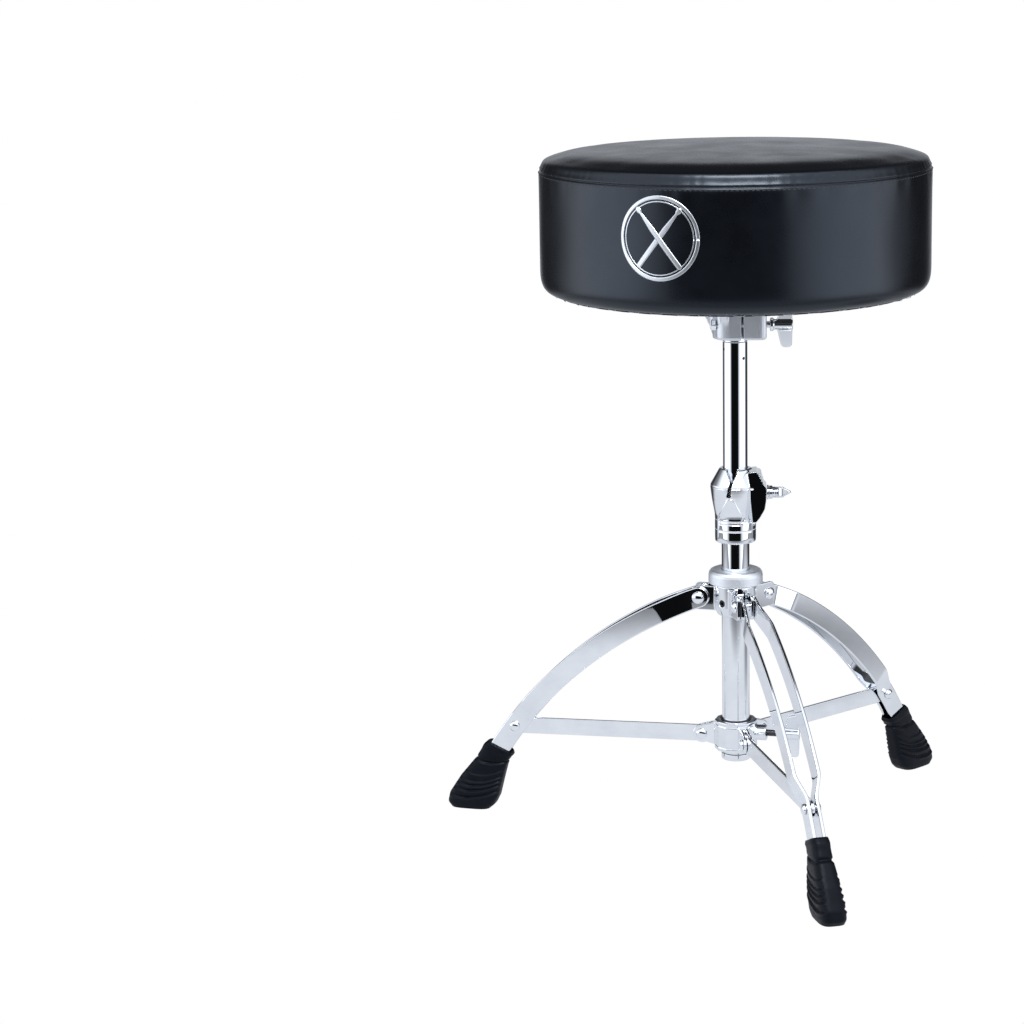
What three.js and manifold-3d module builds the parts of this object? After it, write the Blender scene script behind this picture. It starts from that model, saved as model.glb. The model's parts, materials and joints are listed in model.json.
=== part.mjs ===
// Drum throne: a round padded seat on a telescoping post, over a folding tripod whose
// three legs are pairs of curved flat bars, each tied to a sliding hub by one flat brace.
// Units are millimetres and +Z is up. Every part is first placed about the tube's axis
// with the floor at z = 0; the last lines centre the footprint on the origin.

import * as THREE from "three";
import { mergeVertices } from "three/addons/utils/BufferGeometryUtils.js";
import Module from "manifold-3d";

const wasm = await Module();
wasm.setup();

// ---------------------------------------------------------------- driving dimensions

const GAP = 0.3;                      // clearance between neighbouring pieces
const RADIAN = Math.PI / 180;

const LEG_AZIMUTHS = [-72.5, 47.5, 167.5];
const SEAT_RADIUS = 175;
const SEAT_BOTTOM = 503.3;
const SEAT_TOP = 630;
const BOARD_THICKNESS = 12;
const BOARD_RADIUS = 158;
const COVER_THICKNESS = 0.8;

const FLANGE_THICKNESS = 4.2;
const ARM_AZIMUTHS = [-20, 70, 160, 250];
const ARM_WIDTH = 19;
const BOLT_CIRCLE = 68;
const BOSS_RADIUS = 20;
const BOSS_BOTTOM = 458.5;
const SEAT_CLAMP_HEIGHT = 473;
const SEAT_CLAMP_Y = -17.2;
const SEAT_LUG_X = -16.5;
const BOLT_HOLE_RADIUS = 4;

const POST_RADIUS = 11.1;
const POST_WALL = 1.2;
const POST_BOTTOM = 200;
const POST_TOP = 455.4;
const SPINDLE_TOP = 496;
const POST_PINS = [{ azimuth: 205, z: 449 }, { azimuth: -47, z: 441 }];

const TUBE_RADIUS = 12.7;
const TUBE_WALL = 1.2;
const TUBE_BOTTOM = 72.3;
const TUBE_TOP = 300;
const CAP_BOTTOM = 66;

const CLAMP_BOTTOM = 272;
const CLAMP_TOP = 340;
const CLAMP_BOLT_HEIGHT = 320.5;
const CLAMP_BOLT_Y = -16.5;
const CLAMP_EAR_X = 28;
const CLAMP_WASHER = 1.5;

const COLLAR_RADIUS = 24.7;
const COLLAR_BOTTOM = 233;
const COLLAR_HEIGHT = 13;
const COLLAR_SCREW_AZIMUTH = 107.5;

const HUB_BOTTOM = 203.4;
const HUB_TOP = 232.7;
const HUB_RADIUS = 18.8;
const HUB_EAR_THICKNESS = 2.7;
const HUB_SCREW_AZIMUTH = 227.5;
const HUB_SCREW_HEIGHT = 216.05;

const LEG_ARC_CENTRE = { r: -104, z: -148 };
const LEG_ARC_RADIUS = 391.4;
const LEG_PIVOT_ANGLE = 20.55;        // degrees along the leg's arc, from straight up
const BRACE_PIN_ANGLE = 53.75;
const STRIP_END_ANGLE = 60.4;
const STRIP_WIDTH = 19;
const STRIP_THICKNESS = 3;
const STRIP_OFFSETS = [               // arc angle and distance from the leg's middle plane
  { angle: 22.3, offset: 6.5 },
  { angle: 26, offset: 11 },
  { angle: 49.8, offset: 11 },
  { angle: 52.6, offset: 4.2 },
];

const BRACE_PIVOT = { r: 31.5, z: 88 };
const BRACE_WIDTH = 15.5;
const BRACE_THICKNESS = 3;
const BRACE_HUB_BOTTOM = 75.4;
const BRACE_HUB_TOP = 103.8;
const BRACE_HUB_RADIUS = 19.6;
const TRIPOD_LOCK_AZIMUTH = -12.5;
const TRIPOD_LOCK_HEIGHT = 92;
const TRIPOD_LOCK_BOSS = { radius: 7.2, end: 29 };
const TRIPOD_LOCK_WING = 39.5;        // the wing's near end, from the tube's axis

const FOOT_SECTIONS = [               // heel and toe in the leg's plane, half the thickness
  { heel: [238.5, 0], toe: [275.5, 0], half: 11.2 },
  { heel: [233.2, 4.5], toe: [279.6, 5], half: 12.2 },
  { heel: [229, 13], toe: [277.6, 14], half: 12.2 },
  { heel: [225.2, 28], toe: [266.2, 31.5], half: 11 },
  { heel: [220.8, 44], toe: [252.2, 48.5], half: 9 },
  { heel: [217.4, 51.5], toe: [245.4, 58.5], half: 8.1 },
  { heel: [215.2, 54], toe: [242.6, 63.5], half: 8.4 },
  { heel: [215.6, 57], toe: [239.6, 66.4], half: 8 },
];

const WING = { barrel: 20, barrelRadius: 5, reach: 21.7, root: 13.6, tip: 9, thick: 4 };
const WING_TURN = { seatClamp: 12, heightClamp: 77 };
const WING_GRIP = 14;                 // length of screw inside a wing
const THREAD_RADIUS = 3;
const PIVOT_RIVET = { hole: 3.9, shank: 3.6, head: 5.6, height: 3.4 };
const BRACE_PIN = { hole: 3.5, spacer: 4.8, shank: 3.2, head: 5, height: 2.8 };
const BRACE_RIVET = { hole: 3.5, shank: 3.2, head: 5.2, height: 2.8 };

// ---------------------------------------------------------------- materials

const finish = (color, roughness, metalness) =>
  new THREE.MeshStandardMaterial({ color, roughness, metalness });

const chrome = finish(0xd9dce0, 0.08, 1);
const satinMetal = finish(0xa9adb2, 0.4, 0.9);
const darkSteel = finish(0x2b2c2f, 0.45, 0.8);
const vinyl = finish(0x15171c, 0.45, 0);
const rubber = finish(0x17191f, 0.75, 0);
const plastic = finish(0x1c1d20, 0.5, 0);
const plywood = finish(0xb58a58, 0.7, 0);
const liner = finish(0x111214, 0.95, 0);

// ---------------------------------------------------------------- solid helpers

function toSolid(geometry) {
  const bare = geometry.clone();
  bare.deleteAttribute("normal");
  bare.deleteAttribute("uv");
  const merged = mergeVertices(bare, 1e-4);
  const points = merged.attributes.position;
  const corner = (index) => new THREE.Vector3().fromBufferAttribute(points, index);
  const triangles = [];
  let volume = 0;
  for (let i = 0; i < merged.index.count; i += 3) {
    const [a, b, c] = [0, 1, 2].map((step) => merged.index.getX(i + step));
    if (a === b || b === c || c === a) continue;
    triangles.push([a, b, c]);
    volume += corner(a).dot(corner(b).cross(corner(c)));
  }
  if (volume < 0) triangles.forEach((triangle) => triangle.reverse());
  return new wasm.Manifold(new wasm.Mesh({
    numProp: 3,
    vertProperties: Float32Array.from(points.array),
    triVerts: Uint32Array.from(triangles.flat()),
  }));
}

function toGeometry(solid) {
  const mesh = solid.getMesh();
  const geometry = new THREE.BufferGeometry();
  geometry.setAttribute("position", new THREE.BufferAttribute(mesh.vertProperties, 3));
  geometry.setIndex(new THREE.BufferAttribute(mesh.triVerts, 1));
  geometry.computeVertexNormals();
  return geometry;
}

// Turns a profile of [radius, z] points about Z. It starts and ends on the axis or closes.
function turned(profile, sides = 24) {
  const points = profile.map(([radius, z]) => new THREE.Vector2(radius, z));
  return toSolid(new THREE.LatheGeometry(points, sides).rotateX(Math.PI / 2));
}

function ring(inner, outer, bottom, top, sides = 24) {
  return turned([[inner, bottom], [outer, bottom], [outer, top], [inner, top], [inner, bottom]], sides);
}

function disc(radius, bottom, top, sides = 24) {
  return turned([[0, bottom], [radius, bottom], [radius, top], [0, top]], sides);
}

// A straight rod between two [x, y, z] points.
function rod(from, to, radius, sides = 12) {
  const start = new THREE.Vector3(...from);
  const end = new THREE.Vector3(...to);
  const direction = end.clone().sub(start);
  const geometry = new THREE.CylinderGeometry(radius, radius, direction.length(), sides);
  const turn = new THREE.Quaternion().setFromUnitVectors(
    new THREE.Vector3(0, 1, 0),
    direction.clone().normalize(),
  );
  geometry.applyQuaternion(turn);
  geometry.translate(...start.add(end).multiplyScalar(0.5).toArray());
  return toSolid(geometry);
}

function block(low, high) {
  const size = high.map((value, axis) => value - low[axis]);
  const middle = high.map((value, axis) => (value + low[axis]) / 2);
  return toSolid(new THREE.BoxGeometry(...size).translate(...middle));
}

// Extrudes an outline drawn in the X-Z plane, from y = low to y = high.
function plateXZ(shape, low, high) {
  const geometry = new THREE.ExtrudeGeometry(shape, {
    depth: high - low,
    bevelEnabled: false,
    curveSegments: 6,
  });
  return toSolid(geometry.rotateX(Math.PI / 2).translate(0, high, 0));
}

// Extrudes an outline drawn in the X-Y plane, from z = low to z = high.
function plateXY(shape, low, high) {
  const geometry = new THREE.ExtrudeGeometry(shape, {
    depth: high - low,
    bevelEnabled: false,
    curveSegments: 6,
  });
  return toSolid(geometry.translate(0, 0, low));
}

function outline(points) {
  return new THREE.Shape(points.map(([x, y]) => new THREE.Vector2(x, y)));
}

// Joins rings of equal point count into one closed skin with flat ends.
function loft(rings) {
  const count = rings[0].length;
  const positions = rings.flat(2);
  const indices = [];
  for (let row = 0; row < rings.length - 1; row += 1) {
    for (let i = 0; i < count; i += 1) {
      const a = row * count + i;
      const b = row * count + ((i + 1) % count);
      indices.push(a, b, b + count, a, b + count, a + count);
    }
  }
  const last = (rings.length - 1) * count;
  for (let i = 1; i < count - 1; i += 1) {
    indices.push(0, i + 1, i, last, last + i, last + i + 1);
  }
  const geometry = new THREE.BufferGeometry();
  geometry.setAttribute("position", new THREE.Float32BufferAttribute(positions, 3));
  geometry.setIndex(indices);
  return toSolid(geometry);
}

function makePart(name, solid, material) {
  const mesh = new THREE.Mesh(toGeometry(solid), material);
  mesh.name = name;
  return mesh;
}

function radialPoint(azimuth, radius, z) {
  return [radius * Math.cos(azimuth * RADIAN), radius * Math.sin(azimuth * RADIAN), z];
}

// ---------------------------------------------------------------- fasteners

// A domed rivet head on a face at y = face, pointing away from y = 0.
function rivetHead(x, z, face, radius, height) {
  const head = turned([[0, 0], [radius, 0], [radius * 0.8, height * 0.7], [0, height]], 10);
  const upright = face < 0 ? head.rotate([90, 0, 0]) : head.rotate([-90, 0, 0]);
  return upright.translate([x, face, z]);
}

// A wing on a barrel whose axis is X. The thread hole is open at x = 0.
function wing() {
  const { barrel, barrelRadius, reach, root, tip, thick } = WING;
  const rootStart = barrel - root - 0.5;
  const tipRound = 3;
  const blade = new THREE.Shape();
  blade.moveTo(rootStart, 0);
  blade.lineTo(rootStart + root - tip, reach - tipRound);
  blade.quadraticCurveTo(rootStart + root - tip, reach, rootStart + root - tip + tipRound, reach);
  blade.lineTo(rootStart + root - tipRound, reach);
  blade.quadraticCurveTo(rootStart + root, reach, rootStart + root, reach - tipRound);
  blade.lineTo(rootStart + root, 0);
  const upper = plateXZ(blade, -thick / 2, thick / 2);
  const lower = upper.rotate([180, 0, 0]);
  const body = rod([0, 0, 0], [barrel, 0, 0], barrelRadius);
  const hole = rod([-1, 0, 0], [barrel - 4, 0, 0], THREAD_RADIUS + GAP, 12);
  return body.add(upper).add(lower).subtract(hole);
}

// A hexagon-headed bolt standing on z = 0: the head hangs below and the shank points up.
function hexBolt(headRadius, headHeight, shankRadius, shankLength) {
  const washerHeight = 1;
  const head = disc(headRadius, -headHeight, -washerHeight, 6);
  const flange = disc(headRadius + 1.2, -washerHeight - 0.01, 0, 12);
  const shank = disc(shankRadius, -0.01, shankLength, 8);
  return head.add(flange).add(shank);
}

// ---------------------------------------------------------------- seat

function seatCushion() {
  const recessTop = SEAT_BOTTOM + BOARD_THICKNESS + GAP;
  const recess = BOARD_RADIUS + GAP;
  const profile = [
    [0, recessTop],
    [recess, recessTop],
    [recess, SEAT_BOTTOM],
    [SEAT_RADIUS - 8, SEAT_BOTTOM],
    [SEAT_RADIUS - 3.4, SEAT_BOTTOM + 2.6],
    [SEAT_RADIUS - 0.8, SEAT_BOTTOM + 8],
    [SEAT_RADIUS, SEAT_BOTTOM + 15],
    [SEAT_RADIUS, SEAT_TOP - 24],
    [SEAT_RADIUS - 1.2, SEAT_TOP - 17],
    [SEAT_RADIUS - 5.5, SEAT_TOP - 11],
    [SEAT_RADIUS - 16, SEAT_TOP - 6.5],
    [SEAT_RADIUS - 50, SEAT_TOP - 2.5],
    [60, SEAT_TOP],
    [0, SEAT_TOP],
  ];
  return turned(profile, 40);
}

function boltHoles(radius, bottom, top) {
  return wasm.Manifold.union(ARM_AZIMUTHS.map((azimuth) => {
    const [x, y] = radialPoint(azimuth, BOLT_CIRCLE, 0);
    return disc(radius, bottom, top, 8).translate([x, y, 0]);
  }));
}

function seatBoard() {
  const holes = boltHoles(BOLT_HOLE_RADIUS + 0.2, SEAT_BOTTOM - 1, SEAT_BOTTOM + BOARD_THICKNESS + 1);
  return disc(BOARD_RADIUS, SEAT_BOTTOM, SEAT_BOTTOM + BOARD_THICKNESS, 40).subtract(holes);
}

function dustCover() {
  const top = SEAT_BOTTOM - GAP;
  const bottom = top - COVER_THICKNESS;
  return disc(BOARD_RADIUS + 3, bottom, top, 40)
    .subtract(boltHoles(BOLT_HOLE_RADIUS, bottom - 1, top + 1));
}

const FLANGE_TOP = SEAT_BOTTOM - COVER_THICKNESS - 2 * GAP;
const FLANGE_BOTTOM = FLANGE_TOP - FLANGE_THICKNESS;

function bracketArm(azimuth) {
  const slab = block([0, -ARM_WIDTH / 2, FLANGE_BOTTOM], [BOLT_CIRCLE, ARM_WIDTH / 2, FLANGE_TOP]);
  const tip = disc(ARM_WIDTH / 2, FLANGE_BOTTOM, FLANGE_TOP, 24).translate([BOLT_CIRCLE, 0, 0]);
  return slab.add(tip).rotate([0, 0, azimuth]);
}

// The web under an arm sweeps down in a hollow curve to the foot of the boss.
function bracketRib(azimuth) {
  const web = new THREE.Shape();
  web.moveTo(BOSS_RADIUS - 3, FLANGE_BOTTOM + 1);
  web.lineTo(54, FLANGE_BOTTOM + 1);
  web.quadraticCurveTo(31, FLANGE_BOTTOM - 9, BOSS_RADIUS + 2, BOSS_BOTTOM + 3);
  web.lineTo(BOSS_RADIUS - 3, BOSS_BOTTOM + 3);
  return plateXZ(web, -3, 3).rotate([0, 0, azimuth]);
}

function seatBracket() {
  const lugFront = SEAT_CLAMP_Y - 9.5;
  const pinch = block([SEAT_LUG_X, lugFront, BOSS_BOTTOM + 1.5], [CLAMP_EAR_X, -8, SEAT_CLAMP_HEIGHT + 12]);
  let bracket = disc(BOSS_RADIUS, BOSS_BOTTOM, FLANGE_TOP).add(pinch);
  ARM_AZIMUTHS.forEach((azimuth) => {
    bracket = bracket.add(bracketArm(azimuth));
  });
  ARM_AZIMUTHS.slice(1).forEach((azimuth) => {
    bracket = bracket.add(bracketRib(azimuth));
  });
  const bore = disc(POST_RADIUS + GAP, BOSS_BOTTOM - 1, FLANGE_TOP + 1);
  const slit = block([5.6, lugFront - 1, BOSS_BOTTOM - 1], [7.6, -7, SEAT_CLAMP_HEIGHT + 14]);
  const boltHole = rod(
    [-40, SEAT_CLAMP_Y, SEAT_CLAMP_HEIGHT],
    [40, SEAT_CLAMP_Y, SEAT_CLAMP_HEIGHT],
    THREAD_RADIUS + GAP,
  );
  return bracket
    .subtract(bore)
    .subtract(slit)
    .subtract(boltHole)
    .subtract(boltHoles(BOLT_HOLE_RADIUS, FLANGE_BOTTOM - 1, FLANGE_TOP + 1));
}

function seatClampBolt() {
  const headX = SEAT_LUG_X - GAP;
  const shank = rod([headX - 0.01, 0, 0], [CLAMP_EAR_X + 18, 0, 0], THREAD_RADIUS);
  const head = rod([headX - 4.5, 0, 0], [headX, 0, 0], 5.2, 6);
  return shank.add(head).translate([0, SEAT_CLAMP_Y, SEAT_CLAMP_HEIGHT]);
}

// The barrel of a T-nut stands in the board; its flange lies on the board's top.
function teeNut() {
  const top = SEAT_BOTTOM + BOARD_THICKNESS;
  const thread = THREAD_RADIUS + GAP;
  const barrel = BOLT_HOLE_RADIUS - 0.1;
  return ring(thread, barrel, SEAT_BOTTOM + 1, top - 0.01, 12)
    .add(ring(thread, barrel + 0.05, top - 0.02, top + 0.15, 12));
}

function buildSeat() {
  const seat = new THREE.Group();
  seat.add(
    makePart("seat_cushion", seatCushion(), vinyl),
    makePart("seat_board", seatBoard(), plywood),
    makePart("seat_dust_cover", dustCover(), liner),
    makePart("seat_bracket", seatBracket(), satinMetal),
    makePart("seat_clamp_bolt", seatClampBolt(), chrome),
  );
  ARM_AZIMUTHS.forEach((azimuth, index) => {
    const [x, y] = radialPoint(azimuth, BOLT_CIRCLE, 0);
    const bolt = makePart(`bracket_bolt_${index + 1}`, hexBolt(4.6, 4.4, THREAD_RADIUS, 15), chrome);
    bolt.position.set(x, y, FLANGE_BOTTOM - GAP);
    const nut = makePart(`bracket_tee_nut_${index + 1}`, teeNut(), satinMetal);
    nut.position.set(x, y, 0);
    seat.add(bolt, nut);
  });
  const wingNut = makePart("seat_clamp_wing_nut", wing(), chrome);
  wingNut.position.set(CLAMP_EAR_X + 3, SEAT_CLAMP_Y, SEAT_CLAMP_HEIGHT);
  wingNut.rotation.x = WING_TURN.seatClamp * RADIAN;
  seat.add(wingNut);
  return seat;
}

// ---------------------------------------------------------------- post

function postPinHoles(radius, inner, outer) {
  return wasm.Manifold.union(POST_PINS.map(({ azimuth, z }) =>
    rod(radialPoint(azimuth, inner, z), radialPoint(azimuth, outer, z), radius, 10)));
}

function seatPost() {
  const tube = ring(POST_RADIUS - POST_WALL, POST_RADIUS, POST_BOTTOM, POST_TOP);
  return tube.subtract(postPinHoles(1.7, 8, 13));
}

// The spindle plugs the post's top end and carries the seat bracket.
function seatSpindle() {
  const insert = POST_RADIUS - POST_WALL - GAP;
  const profile = [
    [0, POST_TOP - 26],
    [insert, POST_TOP - 26],
    [insert, POST_TOP + GAP],
    [POST_RADIUS, POST_TOP + GAP],
    [POST_RADIUS, SPINDLE_TOP - 1],
    [POST_RADIUS - 1, SPINDLE_TOP],
    [0, SPINDLE_TOP],
  ];
  return turned(profile).subtract(postPinHoles(1.7, 6, 13));
}

function postPlug() {
  const plug = POST_RADIUS - POST_WALL - GAP;
  const profile = [
    [0, POST_BOTTOM - 3],
    [POST_RADIUS, POST_BOTTOM - 3],
    [POST_RADIUS, POST_BOTTOM - GAP],
    [plug, POST_BOTTOM - GAP],
    [plug, POST_BOTTOM + 12],
    [0, POST_BOTTOM + 12],
  ];
  return turned(profile);
}

function buildPost() {
  const post = new THREE.Group();
  post.add(
    makePart("seat_post", seatPost(), chrome),
    makePart("seat_spindle", seatSpindle(), chrome),
    makePart("post_plug", postPlug(), plastic),
  );
  POST_PINS.forEach(({ azimuth, z }, index) => {
    const pin = rod(radialPoint(azimuth, 6.5, z), radialPoint(azimuth, POST_RADIUS - 0.2, z), 1.35, 10);
    post.add(makePart(`post_pin_${index + 1}`, pin, darkSteel));
  });
  return post;
}

// ---------------------------------------------------------------- tube, clamp and collar

function tubeEndCap() {
  const plug = TUBE_RADIUS - TUBE_WALL - GAP;
  const profile = [
    [0, CAP_BOTTOM],
    [TUBE_RADIUS - 0.6, CAP_BOTTOM],
    [TUBE_RADIUS + 0.7, CAP_BOTTOM + 1.3],
    [TUBE_RADIUS + 0.7, TUBE_BOTTOM - GAP],
    [plug, TUBE_BOTTOM - GAP],
    [plug, TUBE_BOTTOM + 11],
    [0, TUBE_BOTTOM + 11],
  ];
  return turned(profile);
}

// The nylon bushing guides the post above the tube's mouth.
function clampBushing() {
  return ring(POST_RADIUS + GAP, POST_RADIUS + 1.1, TUBE_TOP + GAP, CLAMP_TOP - 12);
}

function clampEar() {
  const face = CLAMP_EAR_X;
  const ear = outline([
    [12, CLAMP_TOP],
    [19.5, CLAMP_TOP],
    [23, CLAMP_TOP - 2.5],
    [face - 2, CLAMP_BOLT_HEIGHT + 6.5],
    [face, CLAMP_BOLT_HEIGHT + 5],
    [face, CLAMP_BOLT_HEIGHT - 6],
    [face - 2, CLAMP_BOLT_HEIGHT - 16],
    [22, CLAMP_TOP - 43],
    [12, CLAMP_TOP - 50],
  ]);
  return plateXZ(ear, CLAMP_BOLT_Y - 6, 5);
}

// The slit leaves the top as a funnel and narrows to a round relief hole low on the left.
function clampSlit() {
  const slit = outline([
    [-8.2, CLAMP_TOP + 1],
    [1.9, CLAMP_TOP + 1],
    [-1.4, CLAMP_TOP - 6],
    [-4.6, CLAMP_TOP - 14],
    [-4.6, CLAMP_TOP - 22],
    [-7.4, CLAMP_TOP - 22],
    [-7.3, CLAMP_TOP - 15],
    [-5.2, CLAMP_TOP - 6],
  ]);
  const relief = rod([-6, -30, CLAMP_TOP - 22], [-6, -9, CLAMP_TOP - 22], 2.1, 12);
  return plateXZ(slit, -30, -9).add(relief);
}

function heightClamp() {
  const bulb = turned([
    [0, CLAMP_BOTTOM],
    [18, CLAMP_BOTTOM],
    [18.6, CLAMP_BOTTOM + 0.8],
    [18.7, CLAMP_TOP - 42],
    [21, CLAMP_TOP - 34],
    [22.6, CLAMP_TOP - 24],
    [22.5, CLAMP_TOP - 16],
    [19.3, CLAMP_TOP - 9],
    [13.8, CLAMP_TOP],
    [0, CLAMP_TOP],
  ]);
  const boltHole = rod(
    [-9.5, CLAMP_BOLT_Y, CLAMP_BOLT_HEIGHT],
    [40, CLAMP_BOLT_Y, CLAMP_BOLT_HEIGHT],
    THREAD_RADIUS + 0.2,
    12,
  );
  return bulb
    .add(clampEar())
    .subtract(disc(TUBE_RADIUS + GAP, CLAMP_BOTTOM - 1, TUBE_TOP + GAP))
    .subtract(disc(POST_RADIUS + 1.4, TUBE_TOP, CLAMP_TOP - 12 + GAP))
    .subtract(disc(POST_RADIUS + GAP, CLAMP_TOP - 13, CLAMP_TOP + 1))
    .subtract(clampSlit())
    .subtract(boltHole);
}

function stopCollar() {
  const inner = TUBE_RADIUS + GAP;
  const top = COLLAR_BOTTOM + COLLAR_HEIGHT;
  const collar = turned([
    [inner, COLLAR_BOTTOM],
    [COLLAR_RADIUS - 1, COLLAR_BOTTOM],
    [COLLAR_RADIUS, COLLAR_BOTTOM + 1],
    [COLLAR_RADIUS, top - 3.6],
    [COLLAR_RADIUS - 1.2, top - 1.2],
    [COLLAR_RADIUS - 3.8, top],
    [inner, top],
    [inner, COLLAR_BOTTOM],
  ]);
  const middle = COLLAR_BOTTOM + COLLAR_HEIGHT / 2;
  const hole = rod(
    radialPoint(COLLAR_SCREW_AZIMUTH, 10, middle),
    radialPoint(COLLAR_SCREW_AZIMUTH, 30, middle),
    THREAD_RADIUS + GAP,
    12,
  );
  return collar.subtract(hole);
}

function setScrew(azimuth, inner, outer, z) {
  const screw = rod(radialPoint(azimuth, inner, z), radialPoint(azimuth, outer, z), THREAD_RADIUS, 12);
  const socket = rod(radialPoint(azimuth, outer - 2, z), radialPoint(azimuth, outer + 1, z), 1.6, 6);
  return screw.subtract(socket);
}

function buildColumn() {
  const column = new THREE.Group();
  const tube = ring(TUBE_RADIUS - TUBE_WALL, TUBE_RADIUS, TUBE_BOTTOM, TUBE_TOP);
  const bolt = rod([-9, 0, 0], [CLAMP_EAR_X + 18, 0, 0], THREAD_RADIUS - 0.1, 12)
    .translate([0, CLAMP_BOLT_Y, CLAMP_BOLT_HEIGHT]);
  const washerHole = rod([-1, 0, 0], [CLAMP_WASHER + 1, 0, 0], THREAD_RADIUS + GAP, 12);
  const washer = rod([0, 0, 0], [CLAMP_WASHER, 0, 0], 6.6).subtract(washerHole);
  const washerMesh = makePart("height_clamp_washer", washer, chrome);
  washerMesh.position.set(CLAMP_EAR_X + GAP, CLAMP_BOLT_Y, CLAMP_BOLT_HEIGHT);
  const wingNut = makePart("height_clamp_wing_nut", wing(), chrome);
  wingNut.position.set(CLAMP_EAR_X + CLAMP_WASHER + 2 * GAP, CLAMP_BOLT_Y, CLAMP_BOLT_HEIGHT);
  wingNut.rotation.x = WING_TURN.heightClamp * RADIAN;
  const collarScrew = setScrew(
    COLLAR_SCREW_AZIMUTH,
    TUBE_RADIUS + GAP,
    COLLAR_RADIUS - 0.8,
    COLLAR_BOTTOM + COLLAR_HEIGHT / 2,
  );
  column.add(
    makePart("base_tube", tube, chrome),
    makePart("tube_end_cap", tubeEndCap(), chrome),
    makePart("height_clamp_body", heightClamp(), chrome),
    makePart("clamp_bushing", clampBushing(), plastic),
    makePart("height_clamp_bolt", bolt, darkSteel),
    washerMesh,
    wingNut,
    makePart("stop_collar", stopCollar(), satinMetal),
    makePart("collar_screw", collarScrew, darkSteel),
  );
  return column;
}

// ---------------------------------------------------------------- tripod

function onLegArc(angle, out = 0) {
  const radius = LEG_ARC_RADIUS + out;
  return [
    LEG_ARC_CENTRE.r + radius * Math.sin(angle * RADIAN),
    LEG_ARC_CENTRE.z + radius * Math.cos(angle * RADIAN),
  ];
}

const [PIVOT_R, PIVOT_Z] = onLegArc(LEG_PIVOT_ANGLE);
const [PIN_R, PIN_Z] = onLegArc(BRACE_PIN_ANGLE);

// Each hub ear lies on the same side of its leg strip, so the ear pair sits off centre.
const STRIP_AT_HUB = STRIP_OFFSETS[0].offset;
const EAR_SHIFT = STRIP_THICKNESS / 2 + GAP + HUB_EAR_THICKNESS / 2;
const HUB_EARS = [-STRIP_AT_HUB - EAR_SHIFT, STRIP_AT_HUB - EAR_SHIFT];

function legHub() {
  let hub = turned([
    [0, HUB_BOTTOM],
    [HUB_RADIUS - 2.6, HUB_BOTTOM],
    [HUB_RADIUS, HUB_BOTTOM + 8],
    [HUB_RADIUS, HUB_TOP - 1.5],
    [HUB_RADIUS - 1, HUB_TOP],
    [0, HUB_TOP],
  ]);
  const ear = new THREE.Shape();
  const outer = PIVOT_R + 6.8;
  const [low, high] = [PIVOT_Z - 12, PIVOT_Z + 10.5];
  ear.moveTo(14, low);
  ear.lineTo(outer - 3, low);
  ear.quadraticCurveTo(outer, low, outer, low + 3);
  ear.lineTo(outer, high - 5);
  ear.quadraticCurveTo(outer, high, outer - 5, high);
  ear.lineTo(14, high);
  LEG_AZIMUTHS.forEach((azimuth) => {
    HUB_EARS.forEach((middle) => {
      const plate = plateXZ(ear, middle - HUB_EAR_THICKNESS / 2, middle + HUB_EAR_THICKNESS / 2);
      const hole = rod([PIVOT_R, -20, PIVOT_Z], [PIVOT_R, 20, PIVOT_Z], PIVOT_RIVET.hole, 10);
      hub = hub.add(plate.subtract(hole).rotate([0, 0, azimuth]));
    });
  });
  const screwHole = rod(
    radialPoint(HUB_SCREW_AZIMUTH, 8, HUB_SCREW_HEIGHT),
    radialPoint(HUB_SCREW_AZIMUTH, 30, HUB_SCREW_HEIGHT),
    THREAD_RADIUS + GAP,
    12,
  );
  return hub.subtract(disc(TUBE_RADIUS + GAP, HUB_BOTTOM - 1, HUB_TOP + 1)).subtract(screwHole);
}

// Distance of a strip's middle from the leg's middle plane, straight between the bends.
function stripOffset(angle) {
  const last = STRIP_OFFSETS.length - 1;
  if (angle <= STRIP_OFFSETS[0].angle) return STRIP_OFFSETS[0].offset;
  for (let i = 0; i < last; i += 1) {
    const [from, to] = [STRIP_OFFSETS[i], STRIP_OFFSETS[i + 1]];
    if (angle <= to.angle) {
      const share = (angle - from.angle) / (to.angle - from.angle);
      return from.offset + share * (to.offset - from.offset);
    }
  }
  return STRIP_OFFSETS[last].offset;
}

function stripRing(angle, halfWidth, side) {
  const middle = side * stripOffset(angle);
  const [inner, outer] = [onLegArc(angle, -halfWidth), onLegArc(angle, halfWidth)];
  const low = middle - STRIP_THICKNESS / 2;
  const high = middle + STRIP_THICKNESS / 2;
  return [
    [inner[0], low, inner[1]],
    [outer[0], low, outer[1]],
    [outer[0], high, outer[1]],
    [inner[0], high, inner[1]],
  ];
}

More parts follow.
